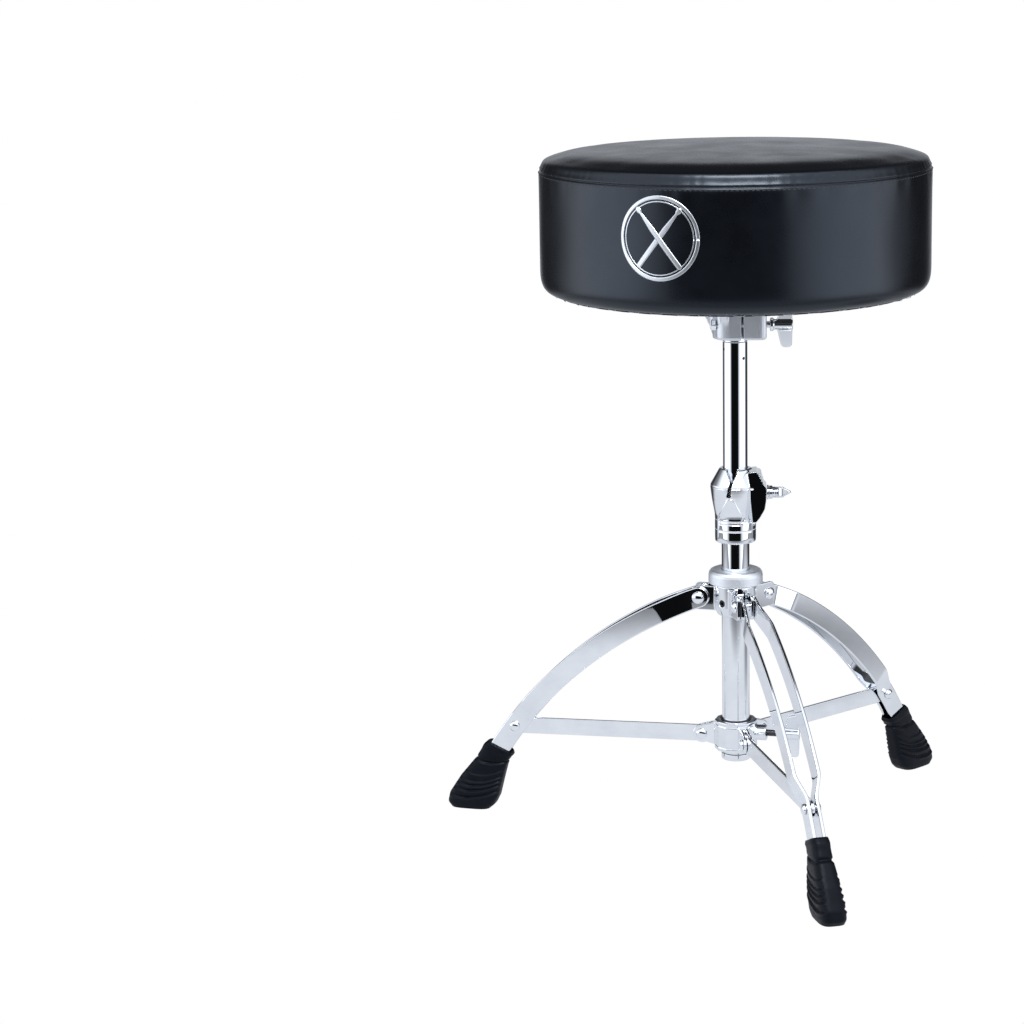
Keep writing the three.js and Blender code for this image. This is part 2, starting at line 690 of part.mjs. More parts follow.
// One curved flat bar: rounded about the pivot, bent out past the hub and in at the pin.
function legStrip(side) {
  const half = STRIP_WIDTH / 2;
  const perDegree = LEG_ARC_RADIUS * RADIAN;
  const rings = [0.97, 0.85, 0.6, 0.3].map((share) => {
    const angle = LEG_PIVOT_ANGLE - (share * half) / perDegree;
    return stripRing(angle, half * Math.sqrt(1 - share * share), side);
  });
  const bends = STRIP_OFFSETS.map(({ angle }) => angle);
  const plain = [LEG_PIVOT_ANGLE, 30, 34, 38, 42, 46, 56.5, STRIP_END_ANGLE];
  const angles = [...bends, ...plain].sort((a, b) => a - b);
  angles.forEach((angle) => rings.push(stripRing(angle, half, side)));
  const pivotHole = rod([PIVOT_R, -20, PIVOT_Z], [PIVOT_R, 20, PIVOT_Z], PIVOT_RIVET.hole, 10);
  const pinHole = rod([PIN_R, -20, PIN_Z], [PIN_R, 20, PIN_Z], BRACE_PIN.hole, 10);
  return loft(rings).subtract(pivotHole).subtract(pinHole);
}

// The pivot rivet runs from the outer face of one ear to the outer face of the far strip.
function pivotRivet() {
  const earFace = HUB_EARS[0] - HUB_EAR_THICKNESS / 2 - GAP;
  const stripFace = STRIP_AT_HUB + STRIP_THICKNESS / 2 + GAP;
  const { shank, head, height } = PIVOT_RIVET;
  return rod([PIVOT_R, earFace - 0.2, PIVOT_Z], [PIVOT_R, stripFace + 0.2, PIVOT_Z], shank, 10)
    .add(rivetHead(PIVOT_R, PIVOT_Z, earFace, head, height))
    .add(rivetHead(PIVOT_R, PIVOT_Z, stripFace, head, height));
}

// The brace pin is made as two stubs, so the brace can pass between them as the legs fold.
function bracePinStub(side) {
  const atPin = STRIP_OFFSETS[STRIP_OFFSETS.length - 1].offset;
  const spacerFace = BRACE_THICKNESS / 2 + GAP;
  const stripInside = atPin - STRIP_THICKNESS / 2 - GAP;
  const stripOutside = atPin + STRIP_THICKNESS / 2 + GAP;
  const start = [PIN_R, side * spacerFace, PIN_Z];
  return rod(start, [PIN_R, side * stripInside, PIN_Z], BRACE_PIN.spacer)
    .add(rod(start, [PIN_R, side * (stripOutside + 0.2), PIN_Z], BRACE_PIN.shank, 10))
    .add(rivetHead(PIN_R, PIN_Z, side * stripOutside, BRACE_PIN.head, BRACE_PIN.height));
}

function footRing({ heel, toe, half }) {
  const count = 14;
  const squareness = 0.72;
  const power = (value) => Math.sign(value) * Math.abs(value) ** squareness;
  return Array.from({ length: count }, (_, i) => {
    const turn = (i / count) * 2 * Math.PI;
    const along = power(Math.cos(turn)) / 2 + 0.5;
    const across = power(Math.sin(turn));
    return [
      heel[0] + along * (toe[0] - heel[0]),
      across * half,
      heel[1] + along * (toe[1] - heel[1]),
    ];
  });
}

// The rubber boot has one pocket for both strip ends, open at its neck.
function rubberFoot() {
  const bottomAngle = STRIP_END_ANGLE + 0.6;
  const half = STRIP_WIDTH / 2 + GAP;
  const wide = STRIP_OFFSETS[STRIP_OFFSETS.length - 1].offset + STRIP_THICKNESS / 2 + GAP;
  const rings = [53, 57, bottomAngle].map((angle) => {
    const [inner, outer] = [onLegArc(angle, -half), onLegArc(angle, half)];
    return [
      [inner[0], -wide, inner[1]],
      [outer[0], -wide, outer[1]],
      [outer[0], wide, outer[1]],
      [inner[0], wide, inner[1]],
    ];
  });
  return loft(FOOT_SECTIONS.map(footRing)).subtract(loft(rings));
}

function braceOutline() {
  const half = BRACE_WIDTH / 2;
  const slope = Math.atan2(PIN_Z - BRACE_PIVOT.z, PIN_R - BRACE_PIVOT.r);
  const bar = new THREE.Shape();
  bar.absarc(BRACE_PIVOT.r, BRACE_PIVOT.z, half, slope + Math.PI / 2, slope - Math.PI / 2, false);
  bar.absarc(PIN_R, PIN_Z, half, slope - Math.PI / 2, slope + Math.PI / 2, false);
  return bar;
}

function bracePivotHole() {
  const { r, z } = BRACE_PIVOT;
  return rod([r, -9, z], [r, 9, z], BRACE_RIVET.hole, 10);
}

function brace() {
  const half = BRACE_THICKNESS / 2;
  return plateXZ(braceOutline(), -half, half)
    .subtract(bracePivotHole())
    .subtract(rod([PIN_R, -9, PIN_Z], [PIN_R, 9, PIN_Z], BRACE_PIN.hole, 10));
}

const BRACE_EAR = { inner: BRACE_THICKNESS / 2 + GAP, thickness: 2.5 };

// A rod on the tripod lock's axis, between two distances from the tube's axis.
function lockRod(start, end, radius, sides) {
  return rod(
    radialPoint(TRIPOD_LOCK_AZIMUTH, start, TRIPOD_LOCK_HEIGHT),
    radialPoint(TRIPOD_LOCK_AZIMUTH, end, TRIPOD_LOCK_HEIGHT),
    radius,
    sides,
  );
}

function braceHub() {
  const { inner, thickness } = BRACE_EAR;
  const tip = 8.3;
  const root = BRACE_HUB_RADIUS - 4.1;
  const ear = new THREE.Shape();
  ear.moveTo(root, BRACE_HUB_BOTTOM + 1.5);
  ear.absarc(BRACE_PIVOT.r, BRACE_PIVOT.z, tip, -118 * RADIAN, 78 * RADIAN, false);
  ear.lineTo(root, BRACE_HUB_TOP - 1.5);
  let hub = turned([
    [0, BRACE_HUB_BOTTOM],
    [BRACE_HUB_RADIUS - 1.6, BRACE_HUB_BOTTOM],
    [BRACE_HUB_RADIUS, BRACE_HUB_BOTTOM + 2],
    [BRACE_HUB_RADIUS, BRACE_HUB_TOP - 2],
    [BRACE_HUB_RADIUS - 1.6, BRACE_HUB_TOP],
    [0, BRACE_HUB_TOP],
  ], 12).rotate([0, 0, LEG_AZIMUTHS[0] + 15]);
  LEG_AZIMUTHS.forEach((azimuth) => {
    const slot = block([BRACE_PIVOT.r - 9.5, -inner, 60], [40, inner, 120]);
    const pair = plateXZ(ear, -inner - thickness, inner + thickness)
      .subtract(slot)
      .subtract(bracePivotHole());
    hub = hub.add(pair.rotate([0, 0, azimuth]));
  });
  const { radius, end } = TRIPOD_LOCK_BOSS;
  return hub
    .add(lockRod(root, end, radius, 16))
    .subtract(disc(TUBE_RADIUS + 1.6, BRACE_HUB_BOTTOM - 1, BRACE_HUB_TOP + 1))
    .subtract(lockRod(10, end + 4, THREAD_RADIUS + GAP, 12));
}

function braceHubBushing() {
  const inner = TUBE_RADIUS + GAP;
  const sleeve = ring(inner, TUBE_RADIUS + 1.3, BRACE_HUB_BOTTOM - 0.6, BRACE_HUB_TOP + 0.6);
  return sleeve.subtract(lockRod(8, 20, THREAD_RADIUS + GAP, 12));
}

function bracePivotRivet() {
  const face = BRACE_EAR.inner + BRACE_EAR.thickness + GAP;
  const { r, z } = BRACE_PIVOT;
  const { shank, head, height } = BRACE_RIVET;
  return rod([r, -face - 0.2, z], [r, face + 0.2, z], shank, 10)
    .add(rivetHead(r, z, -face, head, height))
    .add(rivetHead(r, z, face, head, height));
}

function buildTripod() {
  const tripod = new THREE.Group();
  const hubScrew = setScrew(HUB_SCREW_AZIMUTH, TUBE_RADIUS + GAP, HUB_RADIUS - 0.6, HUB_SCREW_HEIGHT);
  tripod.add(
    makePart("leg_hub", legHub(), chrome),
    makePart("hub_screw", hubScrew, darkSteel),
    makePart("brace_hub", braceHub(), chrome),
    makePart("brace_hub_bushing", braceHubBushing(), plastic),
  );
  LEG_AZIMUTHS.forEach((azimuth, index) => {
    const number = index + 1;
    const leg = new THREE.Group();
    leg.rotation.z = azimuth * RADIAN;
    leg.add(
      makePart(`leg_${number}_strip_left`, legStrip(-1), chrome),
      makePart(`leg_${number}_strip_right`, legStrip(1), chrome),
      makePart(`leg_${number}_pivot_rivet`, pivotRivet(), chrome),
      makePart(`leg_${number}_brace_pin_left`, bracePinStub(-1), chrome),
      makePart(`leg_${number}_brace_pin_right`, bracePinStub(1), chrome),
      makePart(`leg_${number}_foot`, rubberFoot(), rubber),
      makePart(`brace_${number}`, brace(), chrome),
      makePart(`brace_${number}_pivot_rivet`, bracePivotRivet(), chrome),
    );
    tripod.add(leg);
  });
  const lock = new THREE.Group();
  lock.rotation.z = TRIPOD_LOCK_AZIMUTH * RADIAN;
  const screw = rod([TUBE_RADIUS + GAP, 0, 0], [TRIPOD_LOCK_WING + WING_GRIP, 0, 0], THREAD_RADIUS, 12);
  const screwMesh = makePart("tripod_lock_screw", screw, darkSteel);
  screwMesh.position.z = TRIPOD_LOCK_HEIGHT;
  const wingMesh = makePart("tripod_lock_wing", wing(), chrome);
  wingMesh.position.set(TRIPOD_LOCK_WING, 0, TRIPOD_LOCK_HEIGHT);
  lock.add(screwMesh, wingMesh);
  tripod.add(lock);
  return tripod;
}

// ---------------------------------------------------------------- assembly

const throne = new THREE.Group();
throne.add(buildSeat(), buildPost(), buildColumn(), buildTripod());

// The origin is the middle of the whole object's footprint, on the floor.
const extent = new THREE.Box3().setFromObject(throne);
const middle = extent.getCenter(new THREE.Vector3());
throne.position.set(-middle.x, -middle.y, -extent.min.z);

export default throne;
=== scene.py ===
"""Drum throne: the looks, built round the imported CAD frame.

Shapes are drawn in millimetres about the column's axis, with the floor at z = 0, and are
placed into the frame in metres. The cast and moulded parts are grown as the zero surface
of a distance function, so that their edges and joins are filleted as a foundry leaves them.
"""

import json
import math
import random

import bpy
import numpy as np
from mathutils import Matrix, Vector


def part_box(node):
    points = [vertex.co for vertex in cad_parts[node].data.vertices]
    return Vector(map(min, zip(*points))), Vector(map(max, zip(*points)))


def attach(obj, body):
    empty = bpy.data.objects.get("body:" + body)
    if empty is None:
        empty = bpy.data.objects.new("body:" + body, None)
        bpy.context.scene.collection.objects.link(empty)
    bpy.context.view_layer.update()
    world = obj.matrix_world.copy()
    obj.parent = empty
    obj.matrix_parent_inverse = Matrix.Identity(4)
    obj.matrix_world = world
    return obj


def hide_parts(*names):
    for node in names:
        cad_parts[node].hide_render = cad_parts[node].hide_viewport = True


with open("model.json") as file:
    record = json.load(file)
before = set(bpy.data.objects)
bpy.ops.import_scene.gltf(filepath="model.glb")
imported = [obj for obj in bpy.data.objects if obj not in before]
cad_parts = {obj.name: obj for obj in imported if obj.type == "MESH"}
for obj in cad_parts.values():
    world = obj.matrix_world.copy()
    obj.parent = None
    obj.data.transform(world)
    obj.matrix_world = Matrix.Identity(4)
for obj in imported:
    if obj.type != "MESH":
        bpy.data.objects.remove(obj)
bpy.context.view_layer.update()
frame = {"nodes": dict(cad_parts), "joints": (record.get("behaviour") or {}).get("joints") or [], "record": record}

MM = 0.001
BODY_OF = {
    node: body
    for body, nodes in frame["record"]["behaviour"]["bodies"].items()
    for node in nodes
}
JOINTS = {joint["name"]: joint for joint in frame["joints"]}


def box_middle(node):
    low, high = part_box(node)
    return (low + high) / 2


AXIS = Vector((box_middle("base_tube").x, box_middle("base_tube").y, 0))
LEGS = (1, 2, 3)


def joint_turn(joint):
    """The direction in which a hinged leg or brace points, in radians from +X."""
    x, y, _ = JOINTS[joint]["axis"]
    return math.atan2(-x, y)


def joint_place(joint):
    """Distance from the column's axis, and height, of a hinge, in millimetres."""
    x, y, z = JOINTS[joint]["pos_m"]
    return math.hypot(x - AXIS.x, y - AXIS.y) / MM, z / MM


# ---------------------------------------------------------------- camera, light and floor

CAMERA_BACK = 2.6066
CAMERA_HEIGHT = 0.88036
CAMERA_YAW = -0.07784
CAMERA_PITCH = 0.21878
CAMERA_ROLL = -0.01942
CAMERA_LENS = 103.19


def make_camera():
    data = bpy.data.cameras.new("camera")
    data.lens = CAMERA_LENS
    data.sensor_width = 36
    data.clip_start = 0.1
    data.clip_end = 50
    camera = bpy.data.objects.new("camera", data)
    bpy.context.scene.collection.objects.link(camera)
    forward = Vector((
        math.sin(CAMERA_YAW) * math.cos(CAMERA_PITCH),
        math.cos(CAMERA_YAW) * math.cos(CAMERA_PITCH),
        -math.sin(CAMERA_PITCH),
    ))
    level = forward.cross(Vector((0, 0, 1))).normalized()
    upright = level.cross(forward)
    right = math.cos(CAMERA_ROLL) * level + math.sin(CAMERA_ROLL) * upright
    up = -math.sin(CAMERA_ROLL) * level + math.cos(CAMERA_ROLL) * upright
    axes = Matrix((right, up, -forward)).transposed().to_4x4()
    place = AXIS + Vector((0, -CAMERA_BACK, CAMERA_HEIGHT))
    camera.matrix_world = Matrix.Translation(place) @ axes
    bpy.context.scene.camera = camera


class Nodes:
    """Short-hand for adding shader nodes to one tree."""

    def __init__(self, tree):
        self.tree = tree

    def add(self, kind, inputs=None, **settings):
        node = self.tree.nodes.new("ShaderNode" + kind)
        for name, value in settings.items():
            setattr(node, name, value)
        for name, value in (inputs or {}).items():
            if isinstance(value, bpy.types.NodeSocket):
                self.tree.links.new(value, node.inputs[name])
            else:
                node.inputs[name].default_value = value
        return node

    def math(self, operation, *values):
        return self.add("Math", dict(enumerate(values)), operation=operation).outputs[0]

    def ramp(self, value, stops, interpolation="LINEAR"):
        """A grey ramp, from (position, level) pairs."""
        node = self.add("ValToRGB", {"Fac": value})
        node.color_ramp.interpolation = interpolation
        elements = node.color_ramp.elements
        while len(elements) < len(stops):
            elements.new(1.0)
        for element, (position, level) in zip(elements, stops):
            element.position = position
            element.color = (level, level, level, 1)
        return node.outputs["Color"]

    def mix(self, share, first, second, blend_type="MIX"):
        node = self.add("Mix", data_type="RGBA", blend_type=blend_type)
        factor, a, b = node.inputs[0], node.inputs[6], node.inputs[7]
        for socket, value in ((factor, share), (a, first), (b, second)):
            if isinstance(value, bpy.types.NodeSocket):
                self.tree.links.new(value, socket)
            elif socket is factor:
                socket.default_value = value
            else:
                socket.default_value = (*value, 1)
        return node.outputs[2]


# Brightness of the studio's walls: the share of a half turn away from the direction of the
# front, then the level. Dark cloth hangs low in front and at both far sides.
STUDIO_RIGHT = [(0.0, 0.004), (0.155, 0.006), (0.20, 0.8), (0.34, 1.7), (0.52, 1.6),
                (0.60, 0.5), (0.66, 0.04), (0.86, 0.04), (0.92, 0.65), (1.0, 0.78)]
STUDIO_LEFT = [(0.0, 0.004), (0.195, 0.006), (0.24, 0.8), (0.36, 1.8), (0.55, 1.6),
               (0.66, 0.5), (0.73, 0.04), (0.87, 0.04), (0.92, 0.65), (1.0, 0.78)]
STUDIO_CEILING = [(0.0, 1.3), (0.48, 1.15), (0.62, 0.25), (0.78, 0.07), (1.0, 0.05)]
STUDIO_UNDER = 0.5
STUDIO_TINT = (0.93, 0.97, 1.05)


def make_studio():
    world = bpy.data.worlds.new("studio")
    bpy.context.scene.world = world
    world.use_nodes = True
    world.node_tree.nodes.clear()
    n = Nodes(world.node_tree)
    towards = n.add("SeparateXYZ", {0: n.add("TexCoord").outputs["Generated"]}).outputs
    turn = n.math("ARCTAN2", towards["X"], n.math("MULTIPLY", towards["Y"], -1.0))
    share = n.math("DIVIDE", n.math("ABSOLUTE", turn), math.pi)
    right = n.ramp(share, STUDIO_RIGHT)
    left = n.ramp(share, STUDIO_LEFT)
    walls = n.mix(n.math("GREATER_THAN", turn, 0.0), left, right)
    height = n.math("MULTIPLY_ADD", towards["Z"], 0.5, 0.5)
    above = n.ramp(height, [(0.57, 0.0), (0.66, 1.0)], "EASE")
    below = n.ramp(height, [(0.30, 1.0), (0.36, 0.0)], "EASE")
    upper = n.mix(above, walls, n.ramp(share, STUDIO_CEILING))
    around = n.mix(below, upper, (STUDIO_UNDER,) * 3)
    around = n.mix(1.0, around, STUDIO_TINT, "MULTIPLY")
    seen = n.add("LightPath").outputs["Is Camera Ray"]
    colour = n.mix(seen, around, (1.0, 1.0, 1.0))
    background = n.add("Background", {"Color": colour, "Strength": 1.0})
    n.add("OutputWorld", {"Surface": background.outputs[0]})
    world.cycles.sampling_method = "MANUAL"
    world.cycles.sample_map_resolution = 1024


def add_softbox(name, place, aim, size, power):
    """A rectangular lamp. Its place and its aim are measured from the column's foot."""
    data = bpy.data.lights.new(name, "AREA")
    data.shape = "RECTANGLE"
    data.size, data.size_y = size
    data.energy = power
    light = bpy.data.objects.new(name, data)
    light.location = AXIS + place
    light.rotation_euler = (aim - place).to_track_quat("-Z", "Y").to_euler()
    bpy.context.scene.collection.objects.link(light)


FLOOR_RADIUS = 0.78
FLOOR_STRETCH = 1.7                     # how much wider the floor is than deep
FLOOR_PAINTED_SHADE_SPOT = (0.68, 0.04)          # middle of the patch of painted shade, right of the throne


def make_floor():
    """A pale oval floor that the camera looks through.

    It glows with painted light, so that it reflects in the chrome as a soft grey as a studio paper backdrop does;
    painted shade darkens it in a patch right of the throne and towards its rim.
    """
    count = 96
    ring = [
        AXIS + Vector((math.cos(turn) * FLOOR_STRETCH, math.sin(turn), 0)) * FLOOR_RADIUS
        for turn in (2 * math.pi * i / count for i in range(count))
    ]
    mesh = bpy.data.meshes.new("floor")
    mesh.from_pydata(ring, [], [list(range(count))])
    floor = bpy.data.objects.new("floor", mesh)
    bpy.context.scene.collection.objects.link(floor)
    material = bpy.data.materials.new("floor_paper_painted_glow")
    material.use_nodes = True
    material.node_tree.nodes.clear()
    n = Nodes(material.node_tree)
    where = n.add("TexCoord").outputs["Object"]
    grain = noise(n, where, 40.0)
    paper = n.mix(grain, (0.61, 0.63, 0.67), (0.67, 0.69, 0.73))
    # Painted shade: the floor is darker in a patch right of the throne.
    middle = AXIS + Vector((*FLOOR_PAINTED_SHADE_SPOT, 0))
    away = n.add("VectorMath", {0: where, 1: middle}, operation="DISTANCE").outputs["Value"]
    painted_side_shade = n.ramp(away, [(0.04, 0.36), (0.34, 1.0)], "EASE")
    # Painted shade: the floor darkens towards its rim.
    squeezed = n.add("VectorMath", {0: where, 1: (1 / FLOOR_STRETCH, 1, 1)}, operation="MULTIPLY")
    squeezed_axis = Vector((AXIS.x / FLOOR_STRETCH, AXIS.y, 0))
    reach = {0: squeezed.outputs[0], 1: squeezed_axis}
    rim_gap = n.add("VectorMath", reach, operation="DISTANCE").outputs["Value"]
    rim = n.ramp(rim_gap, [(0.54, 1.0), (FLOOR_RADIUS, 0.35)], "EASE")
    shade = n.mix(1.0, n.mix(1.0, paper, painted_side_shade, "MULTIPLY"), rim, "MULTIPLY")
    matt = n.add("BsdfDiffuse", {"Color": n.mix(1.0, shade, (0.35,) * 3, "MULTIPLY")}).outputs[0]
    # Painted light: the floor glows with its own light, so that it reflects in the chrome as a lit grey.
    painted_glow = n.add("Emission", {"Color": shade, "Strength": 0.80}).outputs[0]
    paper_and_painted_glow = n.add("AddShader", {0: matt, 1: painted_glow}).outputs[0]
    clear = n.add("BsdfTransparent").outputs[0]
    seen = n.add("LightPath").outputs["Is Camera Ray"]
    from_below = n.add("NewGeometry").outputs["Backfacing"]
    hidden = n.math("MAXIMUM", seen, from_below)
    surface = n.add("MixShader", {0: hidden, 1: paper_and_painted_glow, 2: clear}).outputs[0]
    n.add("OutputMaterial", {"Surface": surface})
    mesh.materials.append(material)


# ---------------------------------------------------------------- materials


def start_material(name, **sockets):
    """A principled material whose fixed values sit on the shader's own sockets."""
    material = bpy.data.materials.new(name)
    material.use_nodes = True
    n = Nodes(material.node_tree)
    shader = material.node_tree.nodes["Principled BSDF"]
    for socket, value in sockets.items():
        shader.inputs[socket.replace("_", " ")].default_value = value
    where = n.add("TexCoord").outputs["Object"]
    return material, n, shader, where


def noise(n, where, scale, detail=3.0, roughness=0.5):
    values = {"Vector": where, "Scale": scale, "Detail": detail, "Roughness": roughness}
    return n.add("TexNoise", values).outputs["Fac"]


def vary(n, value, low, high):
    """Spreads a noise's middle values over low..high."""
    values = {"Value": value, "From Min": 0.3, "From Max": 0.7, "To Min": low, "To Max": high}
    return n.add("MapRange", values).outputs["Result"]


def finish_material(n, shader, colour, roughness, height, depth, strength=1.0):
    n.tree.links.new(colour, shader.inputs["Base Color"])
    n.tree.links.new(roughness, shader.inputs["Roughness"])
    bump = n.add("Bump", {"Height": height, "Distance": depth, "Strength": strength})
    n.tree.links.new(bump.outputs[0], shader.inputs["Normal"])


def stretched(n, where, scale):
    return n.add("Mapping", {"Vector": where, "Scale": scale}).outputs[0]


def make_metal(name, dark, light, smooth, rough, grain, depth, brush=(1, 1, 0.06)):
    """Cloudy tone, rubbed streaks in the gloss, and a fine skin texture."""
    material, n, shader, where = start_material(name, Metallic=1.0)
    clouds = noise(n, where, 45.0, 4.0)
    colour = n.mix(vary(n, clouds, 0.0, 1.0), dark, light)
    streaks = noise(n, stretched(n, where, brush), 1400.0, 3.0)
    smears = noise(n, where, 28.0, 5.0, 0.62)
    rubbed = n.math("MULTIPLY", vary(n, streaks, 0.0, 1.0), vary(n, smears, 0.25, 1.0))
    roughness = n.math("MULTIPLY_ADD", rubbed, rough - smooth, smooth)
    finish_material(n, shader, colour, roughness, noise(n, where, grain, 3.0), depth)
    return material


def make_vinyl():
    """Black coated fabric: a pebble grain under a soft satin face."""
    material, n, shader, where = start_material("seat_vinyl")
    shader.inputs["Specular IOR Level"].default_value = 0.62
    shader.inputs["Specular Tint"].default_value = (0.74, 0.85, 1.0, 1)
    tone = noise(n, where, 14.0, 4.0)
    colour = n.mix(vary(n, tone, 0.0, 1.0), (0.0005, 0.0007, 0.0016), (0.0010, 0.0013, 0.0026))
    cells = {"Vector": where, "Scale": 1150.0, "Randomness": 1.0}
    pebbles = n.add("TexVoronoi", cells, feature="SMOOTH_F1").outputs["Distance"]
    pores = noise(n, where, 2600.0, 2.0)
    grain = n.math("MULTIPLY_ADD", pores, 0.35, pebbles)
    handled = noise(n, where, 22.0, 5.0, 0.6)
    roughness = vary(n, handled, 0.24, 0.31)
    finish_material(n, shader, colour, roughness, grain, 0.00003, 0.4)
    return material


def make_rubber():
    material, n, shader, where = start_material("boot_rubber")
    shader.inputs["Specular IOR Level"].default_value = 0.15
    shader.inputs["Specular Tint"].default_value = (0.82, 0.9, 1.0, 1)
    tone = noise(n, where, 90.0, 5.0)
    worn = n.add("NewGeometry").outputs["Pointiness"]
    edge = n.ramp(worn, [(0.52, 0.0), (0.60, 1.0)])
    plain = n.mix(vary(n, tone, 0.0, 1.0), (0.0012, 0.0016, 0.0034), (0.003, 0.0038, 0.007))
    colour = n.mix(n.math("MULTIPLY", edge, 0.4), plain, (0.014, 0.016, 0.021))
    roughness = vary(n, noise(n, where, 300.0, 4.0), 0.36, 0.50)
    finish_material(n, shader, colour, roughness, noise(n, where, 2200.0, 3.0), 0.00006, 0.5)
    return material


def make_plastic():
    material, n, shader, where = start_material("black_plastic")
    tone = noise(n, where, 120.0, 3.0)
    colour = n.mix(tone, (0.012, 0.012, 0.014), (0.024, 0.024, 0.027))
    roughness = vary(n, noise(n, where, 400.0, 3.0), 0.38, 0.52)
    finish_material(n, shader, colour, roughness, noise(n, where, 1800.0, 3.0), 0.00004)
    return material


def make_plywood():
    """Rotary-cut face grain, and thin alternating plies on the edge."""
    material, n, shader, where = start_material("plywood")
    figure = noise(n, stretched(n, where, (1.0, 0.07, 1.0)), 160.0, 6.0, 0.6)
    plies = n.add("TexWave", {"Vector": where, "Scale": 190.0}, bands_direction="Z")
    dark = n.math("MULTIPLY_ADD", plies.outputs["Fac"], 0.35, vary(n, figure, 0.0, 0.65))
    colour = n.mix(dark, (0.52, 0.36, 0.20), (0.30, 0.18, 0.09))
    roughness = vary(n, figure, 0.6, 0.78)
    finish_material(n, shader, colour, roughness, figure, 0.0002)
    return material


def make_woven(name, dark, light, threads):
    """A plain weave from two crossed sets of threads."""
    material, n, shader, where = start_material(name)
    across = n.add("TexWave", {"Vector": where, "Scale": threads}, bands_direction="X")
    along = n.add("TexWave", {"Vector": where, "Scale": threads}, bands_direction="Y")
    weave = n.math("MULTIPLY", across.outputs["Fac"], along.outputs["Fac"])
    fuzz = noise(n, where, 900.0, 4.0)
    colour = n.mix(n.math("MULTIPLY", weave, fuzz), dark, light)
    roughness = vary(n, fuzz, 0.82, 0.97)
    finish_material(n, shader, colour, roughness, weave, 0.0002)
    return material


def make_thread():
    material, n, shader, where = start_material("seam_thread")
    twist = noise(n, stretched(n, where, (1, 1, 4)), 1500.0, 3.0)
    colour = n.mix(twist, (0.012, 0.013, 0.017), (0.05, 0.052, 0.06))
    finish_material(n, shader, colour, vary(n, twist, 0.5, 0.7), twist, 0.0001)
    return material


CHROME = make_metal("chrome", (0.84, 0.86, 0.89), (0.91, 0.93, 0.95), 0.012, 0.05, 500.0, 0.000001)
SATIN = make_metal("satin_aluminium", (0.77, 0.795, 0.83), (0.86, 0.885, 0.92), 0.48, 0.60, 1600.0, 0.00002)
DARK_STEEL = make_metal("dark_steel", (0.035, 0.036, 0.04), (0.08, 0.08, 0.088), 0.32, 0.48, 1400.0, 0.00001)
SILVER = make_metal("badge_silver", (0.70, 0.73, 0.76), (0.84, 0.87, 0.90), 0.30, 0.40, 1500.0, 0.00001)
VINYL = make_vinyl()
RUBBER = make_rubber()
PLASTIC = make_plastic()
PLYWOOD = make_plywood()
LINER = make_woven("liner_cloth", (0.006, 0.006, 0.007), (0.05, 0.05, 0.055), 420.0)
THREAD = make_thread()


# ---------------------------------------------------------------- placing pieces


def place(points, turn=0.0, shift=(0, 0, 0)):
    """Turns points about the column's axis after shifting them. All in millimetres."""
    moved = np.asarray(points, float) + np.asarray(shift, float)
    return spin(moved, turn)


def spin(vectors, turn):
    """Turns vectors about the vertical."""
    cosine, sine = math.cos(turn), math.sin(turn)
    vectors = np.asarray(vectors, float)
    x, y = vectors[:, 0], vectors[:, 1]
    return np.column_stack([x * cosine - y * sine, x * sine + y * cosine, vectors[:, 2]])


def make_mesh(name, points, faces, material, normals=None):
    """A smooth-shaded mesh object from points in millimetres about the column's axis."""
    mesh = bpy.data.meshes.new(name)
    mesh.from_pydata((np.asarray(points) * MM + np.array(AXIS)).tolist(), [], faces)
    mesh.polygons.foreach_set("use_smooth", [True] * len(mesh.polygons))
    if normals is not None:
        mesh.normals_split_custom_set_from_vertices(normals.tolist())
    mesh.materials.append(material)
    piece = bpy.data.objects.new(name, mesh)
    bpy.context.scene.collection.objects.link(piece)
    return piece


def settle(piece, node, replaces=True, weigh=True):
    """The piece rides with a CAD node's body and stands for it."""
    if weigh:
        piece.modifiers.new("even_normals", "WEIGHTED_NORMAL").keep_sharp = True
    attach(piece, BODY_OF[node])
    if replaces:
        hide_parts(node)
    return piece


def stand_in(node, shape, material, turn=0.0, shift=(0, 0, 0), name=None):
    """A finished piece in a CAD node's place, from a shape in millimetres."""
    points, faces, normals = (*shape, None)[:3]
    points = place(points, turn, shift)
    if normals is not None:
        normals = spin(normals, turn)
    piece = make_mesh(name or node + "_skin", points, faces, material, normals)
    return settle(piece, node, weigh=normals is None)


# ---------------------------------------------------------------- shapes from profiles


def eased(corners, radius, steps=4, closed=False):
    """Rounds the corners of a polyline."""
    corners = [np.asarray(corner, float) for corner in corners]
    count = len(corners)
    result = []
    for i, corner in enumerate(corners):
        if not closed and i in (0, count - 1):
            result.append(corner)
            continue
        before, after = corners[i - 1], corners[(i + 1) % count]
        reach = min(radius, 0.45 * math.dist(corner, before), 0.45 * math.dist(corner, after))
        start = corner + (before - corner) * reach / math.dist(corner, before)
        stop = corner + (after - corner) * reach / math.dist(corner, after)
        for step in range(steps + 1):
            t = step / steps
            result.append((1 - t) ** 2 * start + 2 * t * (1 - t) * corner + t * t * stop)
    return [tuple(point) for point in result]


